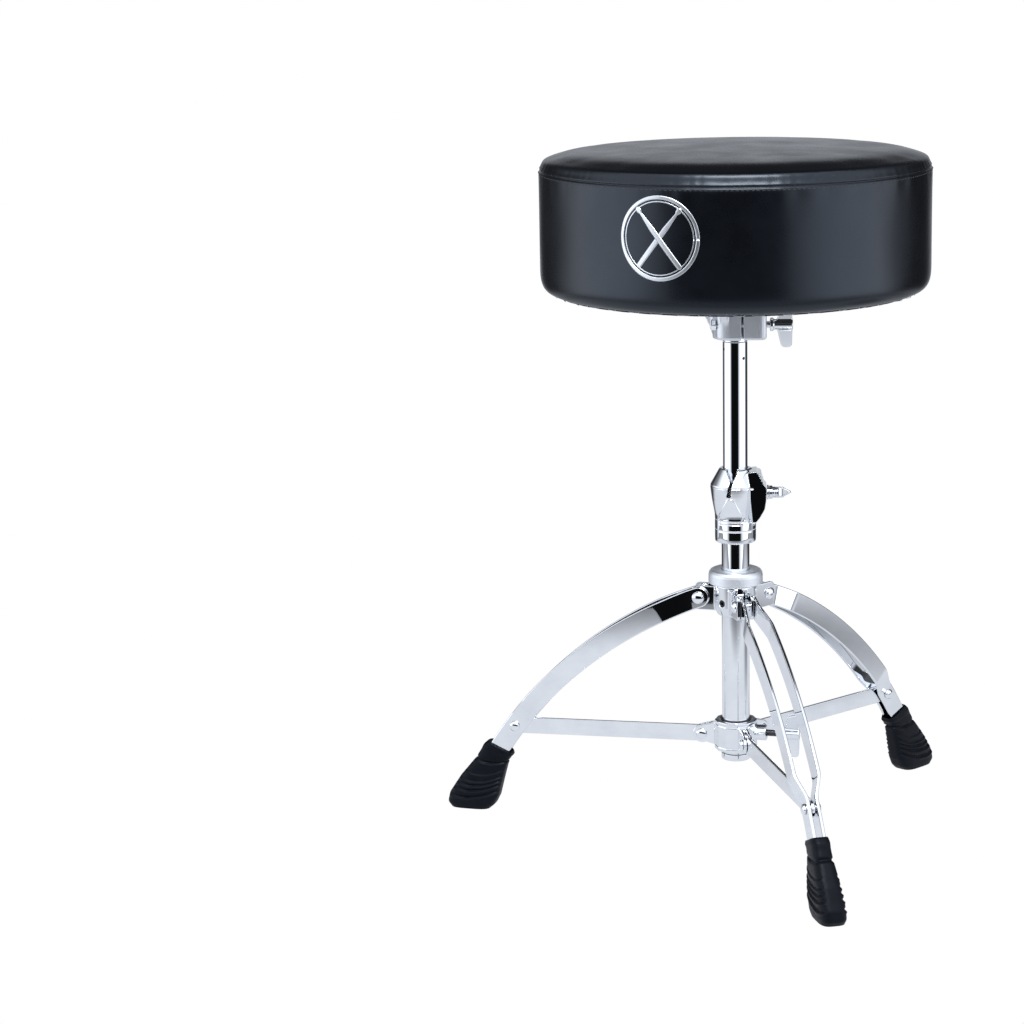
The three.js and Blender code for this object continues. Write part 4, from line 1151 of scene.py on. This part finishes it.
def clamp_distance(x, y, z):
    """The height clamp: a turned bulb with a grip-ribbed ear, split from the front."""
    radius = np.hypot(x, y)
    bulb = outline_distance(eased(CLAMP_PROFILE, 1.0, 3, closed=True), radius, z)
    shield = abs(outline_distance(SHIELD_OUTLINE, x, z))
    solid = bulb + 0.4 * np.exp(-((shield / 0.42) ** 2)) * (y < -5)
    ear_plan = outline_distance(eased(EAR_OUTLINE, 2.2, 3, closed=True), x, z)
    ear = rounded(0.5, ear_plan, abs(y + 7.9) - 12.9)
    for k in range(5):
        share = 0.10 + 0.18 * k
        along_x, along_z = 19.8 + share * 6.9, 340.4 - share * 13.6
        rib = np.hypot(x - along_x, z - along_z) - 0.8
        ear = cut(ear, rib, 0.4)
    solid = join(solid, ear, 1.1)
    groove = 0.42 * np.exp(-(((z - CREASE_HEIGHT) / 0.45) ** 2)) * (x < 16)
    for level in (292.6, 283.6):
        groove = groove + 0.3 * np.exp(-(((z - level) / 0.5) ** 2))
    solid = solid + groove * (radius > 17)
    solid = cut(solid, np.maximum(radius - TUBE_RADIUS - 0.3, z - 300.3), 0.4)
    solid = cut(solid, np.maximum(radius - POST_RADIUS - 1.4, z - 328), 0.4)
    solid = cut(solid, radius - POST_RADIUS - 0.35, 0.5)
    slit = rounded(0.4, outline_distance(SLIT_OUTLINE, x, z), abs(y + 19.5) - 10.5)
    relief = np.maximum(np.hypot(x + 6, z - 318) - 2.1, abs(y + 19.5) - 10.5)
    solid = cut(solid, join(slit, relief, 0.6), 0.6)
    bolt = np.maximum(np.hypot(y - CLAMP_BOLT[0], z - CLAMP_BOLT[1]) - 3.2, 20 - x)
    return cut(solid, bolt, 0.4)


def collar_distance(x, y, z):
    radius = np.hypot(x, y)
    profile = [
        (10, COLLAR_LOW), (23.9, COLLAR_LOW), (24.7, 233.8), (24.7, 240.6), (24.2, 243.2),
        (22.9, 245.1), (20.6, COLLAR_HIGH), (10, COLLAR_HIGH),
    ]
    solid = outline_distance(profile, radius, z)
    solid = cut(solid, radius - TUBE_RADIUS - 0.3, 0.7)
    along, across = seen_from(COLLAR_SCREW_TURN, x, y)
    hole = np.maximum(np.hypot(across, z - COLLAR_SCREW_HEIGHT) - SCREW_HOLE_RADIUS, 12 - along)
    return cut(solid, hole, 0.6)


def make_column():
    stand_in("base_tube", tube_shape(11.5, TUBE_RADIUS, TUBE_LOW, TUBE_HIGH), CHROME)
    cap = eased([
        (0, 66), (12.6, 66), (13.4, 67.2), (13.4, 72), (11.2, 72), (11.2, 83), (0, 83),
    ], 0.5, 3)
    stand_in("tube_end_cap", lathe(cap), CHROME)
    shape = grow(clamp_distance, (-23, -23, CLAMP_LOW), (29, 23, CLAMP_HIGH), 0.45)
    stand_in("height_clamp_body", shape, CHROME)
    low, high = (-COLLAR_REACH, -COLLAR_REACH, COLLAR_LOW), (COLLAR_REACH, COLLAR_REACH, COLLAR_HIGH)
    stand_in("stop_collar", grow(collar_distance, low, high, 0.6), SATIN)
    bolt = rod_shape(CLAMP_EAR_END + 18 - CLAMP_BOLT_START, 2.9, 0.5, thread=0.35)
    stand_in("height_clamp_bolt", bolt, DARK_STEEL, 0, (CLAMP_BOLT_START, *CLAMP_BOLT))
    washer = [(3.3, 0), (6.6, 0), (6.6, CLAMP_WASHER), (3.3, CLAMP_WASHER)]
    washer = eased(washer, 0.3, 3, closed=True)
    points, faces = lathe(washer, 48)
    points = np.array(points)[:, [2, 0, 1]]
    stand_in("height_clamp_washer", (points, faces), CHROME, 0, (CLAMP_EAR_END + 0.3, *CLAMP_BOLT))
    nut_start = CLAMP_EAR_END + CLAMP_WASHER + 0.6
    make_wing("height_clamp_wing_nut", True, (nut_start, *CLAMP_BOLT), math.radians(77))


# ---------------------------------------------------------------- tripod hubs

PIVOT = joint_place("leg_1_fold")
BRACE_PIVOT = joint_place("brace_1_swing")
LEG_TURNS = [joint_turn(f"leg_{number}_fold") for number in LEGS]
STRIP_HALF = 1.5
HUB_EARS = (-9.65, 3.35)
EAR_HALF = 1.35
HUB_LOW, HUB_HIGH = 203.4, 232.7
HUB_REACH = 41.5
HUB_SCREW_TURN = math.radians(227.5)
HUB_SCREW_HEIGHT = 216.05


def hub_distance(x, y, z):
    """The upper hub: a drum with three pairs of ears."""
    radius = np.hypot(x, y)
    profile = [
        (8, HUB_LOW), (15.6, HUB_LOW), (17.0, 204.6), (18.3, 208.6), (18.8, 212.0), (18.8, 231.0),
        (18.2, 232.3), (17.4, HUB_HIGH), (8, HUB_HIGH),
    ]
    solid = outline_distance(profile, radius, z)
    low, high = PIVOT[1] - 12, PIVOT[1] + 10.5
    outer = PIVOT[0] + 6.8
    corner = 4.2
    for turn in LEG_TURNS:
        along, across = seen_from(turn, x, y)
        length_gap = abs(along - (12 + outer) / 2) - (outer - 12) / 2
        plan = rounded(corner, length_gap, abs(z - (low + high) / 2) - (high - low) / 2)
        for middle in HUB_EARS:
            ear = rounded(0.55, plan, abs(across - middle) - EAR_HALF)
            ear = cut(ear, np.hypot(along - PIVOT[0], z - PIVOT[1]) - 3.9, 0.3)
            solid = join(solid, ear, 1.6)
    solid = cut(solid, radius - TUBE_RADIUS - 0.3, 0.6)
    along, across = seen_from(HUB_SCREW_TURN, x, y)
    hole = np.maximum(np.hypot(across, z - HUB_SCREW_HEIGHT) - SCREW_HOLE_RADIUS, 8 - along)
    return cut(solid, hole, 0.5)


BRACE_HUB_LOW, BRACE_HUB_HIGH = 75.4, 103.8
BRACE_HUB_REACH = 41
BRACE_EAR_HALF = 4.3
LOCK_TURN = math.radians(-12.5)
LOCK_HEIGHT = 92.0
LOCK_SCREW_START = 13
LOCK_BOSS_END = 29.0
LOCK_WING_START = 39.5
WING_GRIP = 14                       # how far a lock screw reaches into its wing


def brace_hub_distance(x, y, z):
    """The lower hub: a twelve-sided block with three forked ears and the lock's boss."""
    radius = np.hypot(x, y)
    sides = None
    for k in range(6):
        along, _ = seen_from(LEG_TURNS[0] + math.radians(30 * k), x, y)
        side = abs(along) - 18.9
        sides = side if sides is None else np.maximum(sides, side)
    middle, half = (BRACE_HUB_LOW + BRACE_HUB_HIGH) / 2, (BRACE_HUB_HIGH - BRACE_HUB_LOW) / 2
    solid = rounded(1.2, sides, abs(z - middle) - half)
    waist = 0.35 * np.exp(-(((z - 79.4) / 0.5) ** 2)) + 0.35 * np.exp(-(((z - 99.8) / 0.5) ** 2))
    solid = solid + waist * (radius > 16)
    tip = 8.3
    rim = [
        (BRACE_PIVOT[0] + tip * math.cos(a), BRACE_PIVOT[1] + tip * math.sin(a))
        for a in (math.radians(-118 + 196 * k / 12) for k in range(13))
    ]
    outline = [(12, BRACE_HUB_LOW + 1.5), *rim, (12, BRACE_HUB_HIGH - 1.5)]
    for turn in LEG_TURNS:
        along, across = seen_from(turn, x, y)
        ears = rounded(0.7, outline_distance(outline, along, z), abs(across) - BRACE_EAR_HALF)
        slot = np.maximum(abs(across) - 1.8, BRACE_PIVOT[0] - 9.5 - along)
        ears = cut(ears, slot, 0.4)
        hole = np.hypot(along - BRACE_PIVOT[0], z - BRACE_PIVOT[1]) - 3.5
        solid = join(solid, cut(ears, hole, 0.3), 1.2)
        slot = rounded(0.3, slot, abs(z - BRACE_PIVOT[1]) - 12)
        solid = cut(solid, slot, 0.3)
    along, across = seen_from(LOCK_TURN, x, y)
    boss = rod_along(along, across, z - LOCK_HEIGHT, 14, LOCK_BOSS_END, 7.2, 0.8)
    solid = join(solid, boss, 1.2)
    solid = cut(solid, radius - TUBE_RADIUS - 1.6, 0.6)
    hole = np.maximum(np.hypot(across, z - LOCK_HEIGHT) - SCREW_HOLE_RADIUS, 10 - along)
    return cut(solid, hole, 0.4)


def make_hubs():
    for node, distance, reach, low, high in (
        ("leg_hub", hub_distance, HUB_REACH, HUB_LOW, HUB_HIGH),
        ("brace_hub", brace_hub_distance, BRACE_HUB_REACH, BRACE_HUB_LOW, BRACE_HUB_HIGH),
    ):
        stand_in(node, grow(distance, (-reach, -reach, low), (reach, reach, high), 0.6), CHROME)
    length = LOCK_WING_START + WING_GRIP - LOCK_SCREW_START
    screw = rod_shape(length, 3.0, 0.6, thread=0.35)
    stand_in("tripod_lock_screw", screw, DARK_STEEL, LOCK_TURN, (LOCK_SCREW_START, 0, LOCK_HEIGHT))
    make_wing("tripod_lock_wing", False, (LOCK_WING_START, 0, LOCK_HEIGHT), 0.0, LOCK_TURN)


# ---------------------------------------------------------------- legs and braces

ARC_CENTRE = (-104.0, -148.0)
ARC_RADIUS = 391.4
PIVOT_ANGLE = 20.55
PIN_ANGLE = 53.75
STRIP_END = 60.4
STRIP_WIDTH = 19.0
STRIP_BENDS = [(22.3, 6.5), (26.0, 11.0), (49.8, 11.0), (52.6, 4.2)]
STRIP_AT_HUB = STRIP_BENDS[0][1]
STRIP_AT_PIN = STRIP_BENDS[-1][1]
BRACE_WIDTH = 15.5
BRACE_HALF = 1.5                     # half the brace's thickness


def on_arc(angle, out=0.0):
    radius = ARC_RADIUS + out
    turn = math.radians(angle)
    return ARC_CENTRE[0] + radius * math.sin(turn), ARC_CENTRE[1] + radius * math.cos(turn)


PIN = on_arc(PIN_ANGLE)


def strip_offset(angle):
    """Distance of a strip from the leg's middle plane. Each bend has a short radius."""
    spread = np.linspace(-0.45, 0.45, 9)
    angles, offsets = zip(*STRIP_BENDS)
    return float(np.mean(np.interp(angle + spread, angles, offsets)))


def strip_ring(angle, half_width, side):
    """The strip's cross-section at one angle of the arc, with eased corners."""
    middle = side * strip_offset(angle)
    ring = []
    edge = min(1.1, half_width * 0.6)
    for corner, start in (((1, 1), 0), ((-1, 1), 90), ((-1, -1), 180), ((1, -1), 270)):
        for k in range(5):
            a = math.radians(start + 90 * k / 4)
            out = corner[0] * (half_width - edge) + edge * math.cos(a)
            thick = corner[1] * (STRIP_HALF - min(edge, 1.0)) + min(edge, 1.0) * math.sin(a)
            radius, z = on_arc(angle, out)
            ring.append((radius, middle + thick, z))
    return ring


def strip_shape(side):
    half = STRIP_WIDTH / 2
    per_degree = math.radians(ARC_RADIUS)
    rings = []
    for k in range(1, 13):
        share = math.cos(math.pi / 2 * k / 13)
        width = half * math.sqrt(1 - share * share)
        rings.append(strip_ring(PIVOT_ANGLE - share * half / per_degree, width, side))
    for angle in np.arange(PIVOT_ANGLE, STRIP_END, 0.22):
        rings.append(strip_ring(float(angle), half, side))
    rings.append(strip_ring(STRIP_END, half, side))
    return skin(rings)


def plate_shape(outline, half, edge=0.6, steps=3):
    """A flat plate square to Y with eased edges, from an (x, z) outline."""
    outline = np.array(outline)
    ahead, behind = np.roll(outline, -1, axis=0), np.roll(outline, 1, axis=0)
    along = ahead - behind
    along /= np.linalg.norm(along, axis=1)[:, None]
    inward = np.column_stack([-along[:, 1], along[:, 0]])
    rings = []
    for k in range(2 * steps + 2):
        first = k <= steps
        a = math.pi / 2 * (k / steps if first else (2 * steps + 1 - k) / steps)
        inset = edge * (1 - math.sin(a))
        y = half - edge + edge * math.cos(a)
        ring = outline + inward * inset
        rings.append(np.column_stack([ring[:, 0], np.full(len(ring), -y if first else y), ring[:, 1]]))
    return skin(rings)


def brace_outline():
    """Two round ends, 25 points each, and the straight edges cut into short lengths."""
    half = BRACE_WIDTH / 2
    slope_angle = math.atan2(PIN[1] - BRACE_PIVOT[1], PIN[0] - BRACE_PIVOT[0])
    outline = []
    for centre, start in ((PIN, slope_angle - math.pi / 2), (BRACE_PIVOT, slope_angle + math.pi / 2)):
        for k in range(25):
            a = start + math.pi * k / 24
            outline.append((centre[0] + half * math.cos(a), centre[1] + half * math.sin(a)))
    pieces = 40
    edges = []
    for first, second in ((outline[24], outline[25]), (outline[-1], outline[0])):
        edges.append([
            tuple(np.array(first) * (1 - k / pieces) + np.array(second) * k / pieces)
            for k in range(1, pieces)
        ])
    return [*outline[:25], *edges[0], *outline[25:], *edges[1]]


def make_leg(number):
    turn = LEG_TURNS[number - 1]
    for side, word in ((-1, "left"), (1, "right")):
        stand_in(f"leg_{number}_strip_{word}", strip_shape(side), CHROME, turn)
        face = side * (STRIP_AT_PIN + STRIP_HALF + 0.3)
        inner = side * (BRACE_HALF + 0.3)
        near, far = sorted((inner, face))
        spacer = sorted((inner, side * (STRIP_AT_PIN - STRIP_HALF - 0.3)))
        shape = put_together(
            cross_pin(*PIN, near, far, 3.2),
            cross_pin(*PIN, *spacer, 4.8),
            rivet_head(*PIN, face, 5.0, 2.8),
        )
        stand_in(f"leg_{number}_brace_pin_{word}", shape, CHROME, turn)
    ear_face = HUB_EARS[0] - EAR_HALF - 0.3
    strip_face = STRIP_AT_HUB + STRIP_HALF + 0.3
    shape = put_together(
        cross_pin(*PIVOT, ear_face, strip_face, 3.6),
        rivet_head(*PIVOT, ear_face, 5.6, 3.4),
        rivet_head(*PIVOT, strip_face, 5.6, 3.4),
    )
    stand_in(f"leg_{number}_pivot_rivet", shape, CHROME, turn)
    stand_in(f"brace_{number}", plate_shape(brace_outline(), BRACE_HALF), CHROME, turn)
    face = BRACE_EAR_HALF + 0.3
    shape = put_together(
        cross_pin(*BRACE_PIVOT, -face, face, 3.2),
        rivet_head(*BRACE_PIVOT, -face, 5.2, 2.8),
        rivet_head(*BRACE_PIVOT, face, 5.2, 2.8),
    )
    stand_in(f"brace_{number}_pivot_rivet", shape, CHROME, turn)


# ---------------------------------------------------------------- rubber boots

FOOT_SECTIONS = [                     # heel (r, z), toe (r, z), half the thickness
    (238.5, 0.0, 275.5, 0.0, 11.2), (233.2, 4.5, 279.6, 5.0, 12.2),
    (229.0, 13.0, 277.6, 14.0, 12.2), (225.2, 28.0, 266.2, 31.5, 11.0),
    (220.8, 44.0, 252.2, 48.5, 9.0), (217.4, 51.5, 245.4, 58.5, 8.1),
    (215.2, 54.0, 242.6, 63.5, 8.4), (215.6, 57.0, 239.6, 66.4, 8.0),
]
FOOT_SHARES = [0, 0.075, 0.19, 0.44, 0.70, 0.83, 0.93, 1.0]    # the sections' places up the boot
FOOT_POINTS = 96
POCKET_ANGLES = (57.9, 58.2, 59.2, 60.2, 61.0)


def foot_ring(section, squareness=0.56):
    """One outline of the boot, between an oval and a rectangle, set from heel to toe."""
    heel_r, heel_z, toe_r, toe_z, half = section
    turn = np.arange(FOOT_POINTS) * 2 * math.pi / FOOT_POINTS
    cosine, sine = np.cos(turn), np.sin(turn)
    along = np.sign(cosine) * abs(cosine) ** squareness / 2 + 0.5
    across = np.sign(sine) * abs(sine) ** squareness * half
    return np.column_stack([heel_r + along * (toe_r - heel_r), across, heel_z + along * (toe_z - heel_z)])


def pocket_ring(angle):
    """The pocket's outline round both strips, square to the leg's arc."""
    half = STRIP_WIDTH / 2 + 0.4
    wide = STRIP_AT_PIN + STRIP_HALF + 0.4
    turn = np.arange(FOOT_POINTS) * 2 * math.pi / FOOT_POINTS
    cosine, sine = np.cos(turn), np.sin(turn)
    out = np.sign(cosine) * abs(cosine) ** 0.25 * half
    across = np.sign(sine) * abs(sine) ** 0.25 * wide
    inner, outer = np.array(on_arc(angle, -1.0)), np.array(on_arc(angle, 1.0))
    direction = (outer - inner) / 2
    middle = (outer + inner) / 2
    return np.column_stack([middle[0] + out * direction[0], across, middle[1] + out * direction[1]])


def foot_shape():
    """Boot skin from sole to neck, rolled over the rim and down the pocket."""
    sections = np.array(FOOT_SECTIONS)
    shares = np.concatenate([np.linspace(0, 0.12, 10), np.linspace(0.12, 1, 91)[1:]])
    columns = [np.interp(shares, FOOT_SHARES, sections[:, k]) for k in range(5)]
    kernel = np.array([1, 4, 6, 4, 1]) / 16
    smooth = []
    for column in columns:
        padded = np.concatenate([[column[0]] * 2, column, [column[-1]] * 2])
        smooth.append(np.convolve(padded, kernel, "valid"))
    rings = []
    for share, section in zip(shares, np.column_stack(smooth)):
        ring = foot_ring(section)
        rings.append(boot_relief(ring, share))
    sole = foot_ring(FOOT_SECTIONS[0])
    sole_middle = sole.mean(axis=0)
    under = [sole_middle + (sole - sole_middle) * scale for scale in (0.35, 0.7, 0.93)]
    rim = rings[-1]
    inside = pocket_ring(POCKET_ANGLES[0])
    up = np.array([-0.36, 0, 0.93])
    rolled = [rim + (inside - rim) * t + up * math.sin(math.pi * t) for t in (0.2, 0.4, 0.6, 0.8)]
    down = [pocket_ring(angle) for angle in POCKET_ANGLES]
    return skin([*under, *rings, *rolled, *down])


def boot_relief(ring, share):
    """Curved ribs pressed into the sides, and a groove under the collar."""
    centre = ring.mean(axis=0)
    half = np.abs(ring[:, 1]).max()
    sideways = np.clip(abs(ring[:, 1]) / half, 0, 1)
    span = ring[:, 0] - centre[0]
    reach = np.abs(span).max()
    along = span / reach
    # Ribs sag like smiles: the rib's share rises towards the heel and the toe.
    level = share - 0.085 * along ** 2 + 0.05 * along
    ribs = np.zeros(len(ring))
    for at, depth in ((0.17, 1.8), (0.27, 1.6), (0.345, 1.4), (0.415, 1.2), (0.52, 0.9)):
        ribs += depth * np.exp(-(((level - at) / 0.014) ** 2))
        ribs -= 0.55 * depth * np.exp(-(((level - at + 0.028) / 0.014) ** 2))
    ribs *= np.clip((sideways - 0.60) / 0.22, 0, 1)
    collar_level = share - 0.045 * along ** 2 + 0.02 * along
    groove = 2.1 * np.exp(-(((collar_level - 0.70) / 0.018) ** 2))
    lip = 0.5 * np.exp(-(((collar_level - 0.87) / 0.09) ** 2))
    inward = ribs + groove - lip
    outward = ring - centre
    outward /= np.maximum(np.linalg.norm(outward, axis=1), 1e-6)[:, None]
    return ring - outward * inward[:, None]


def make_boots():
    shape = foot_shape()
    for number in LEGS:
        stand_in(f"leg_{number}_foot", shape, RUBBER, LEG_TURNS[number - 1])


# ---------------------------------------------------------------- the CAD parts that stay

CARRIED = {
    "seat_board": PLYWOOD, "seat_dust_cover": LINER, "post_plug": PLASTIC,
    "clamp_bushing": PLASTIC, "brace_hub_bushing": PLASTIC, "collar_screw": DARK_STEEL,
    "hub_screw": DARK_STEEL, **{f"bracket_tee_nut_{k}": SATIN for k in (1, 2, 3, 4)},
}


def dress_carried_parts():
    for node, material in CARRIED.items():
        part = frame["nodes"][node]
        part.data.materials.clear()
        part.data.materials.append(material)
        part.modifiers.new("even_normals", "WEIGHTED_NORMAL").keep_sharp = True


# ---------------------------------------------------------------- the whole throne

bpy.context.scene.view_settings.view_transform = "Standard"
make_camera()
make_studio()
add_softbox("front_high", Vector((0.05, -1.25, 1.95)), Vector((0, 0, 0.6)), (1.2, 0.75), 30)
make_floor()

cushion = make_cushion()
make_stitches(cushion)
make_badge(cushion)
make_staples()
make_bracket()
make_seat_fasteners()
make_post()
make_column()
make_hubs()
for leg_number in LEGS:
    make_leg(leg_number)
make_boots()
dress_carried_parts()
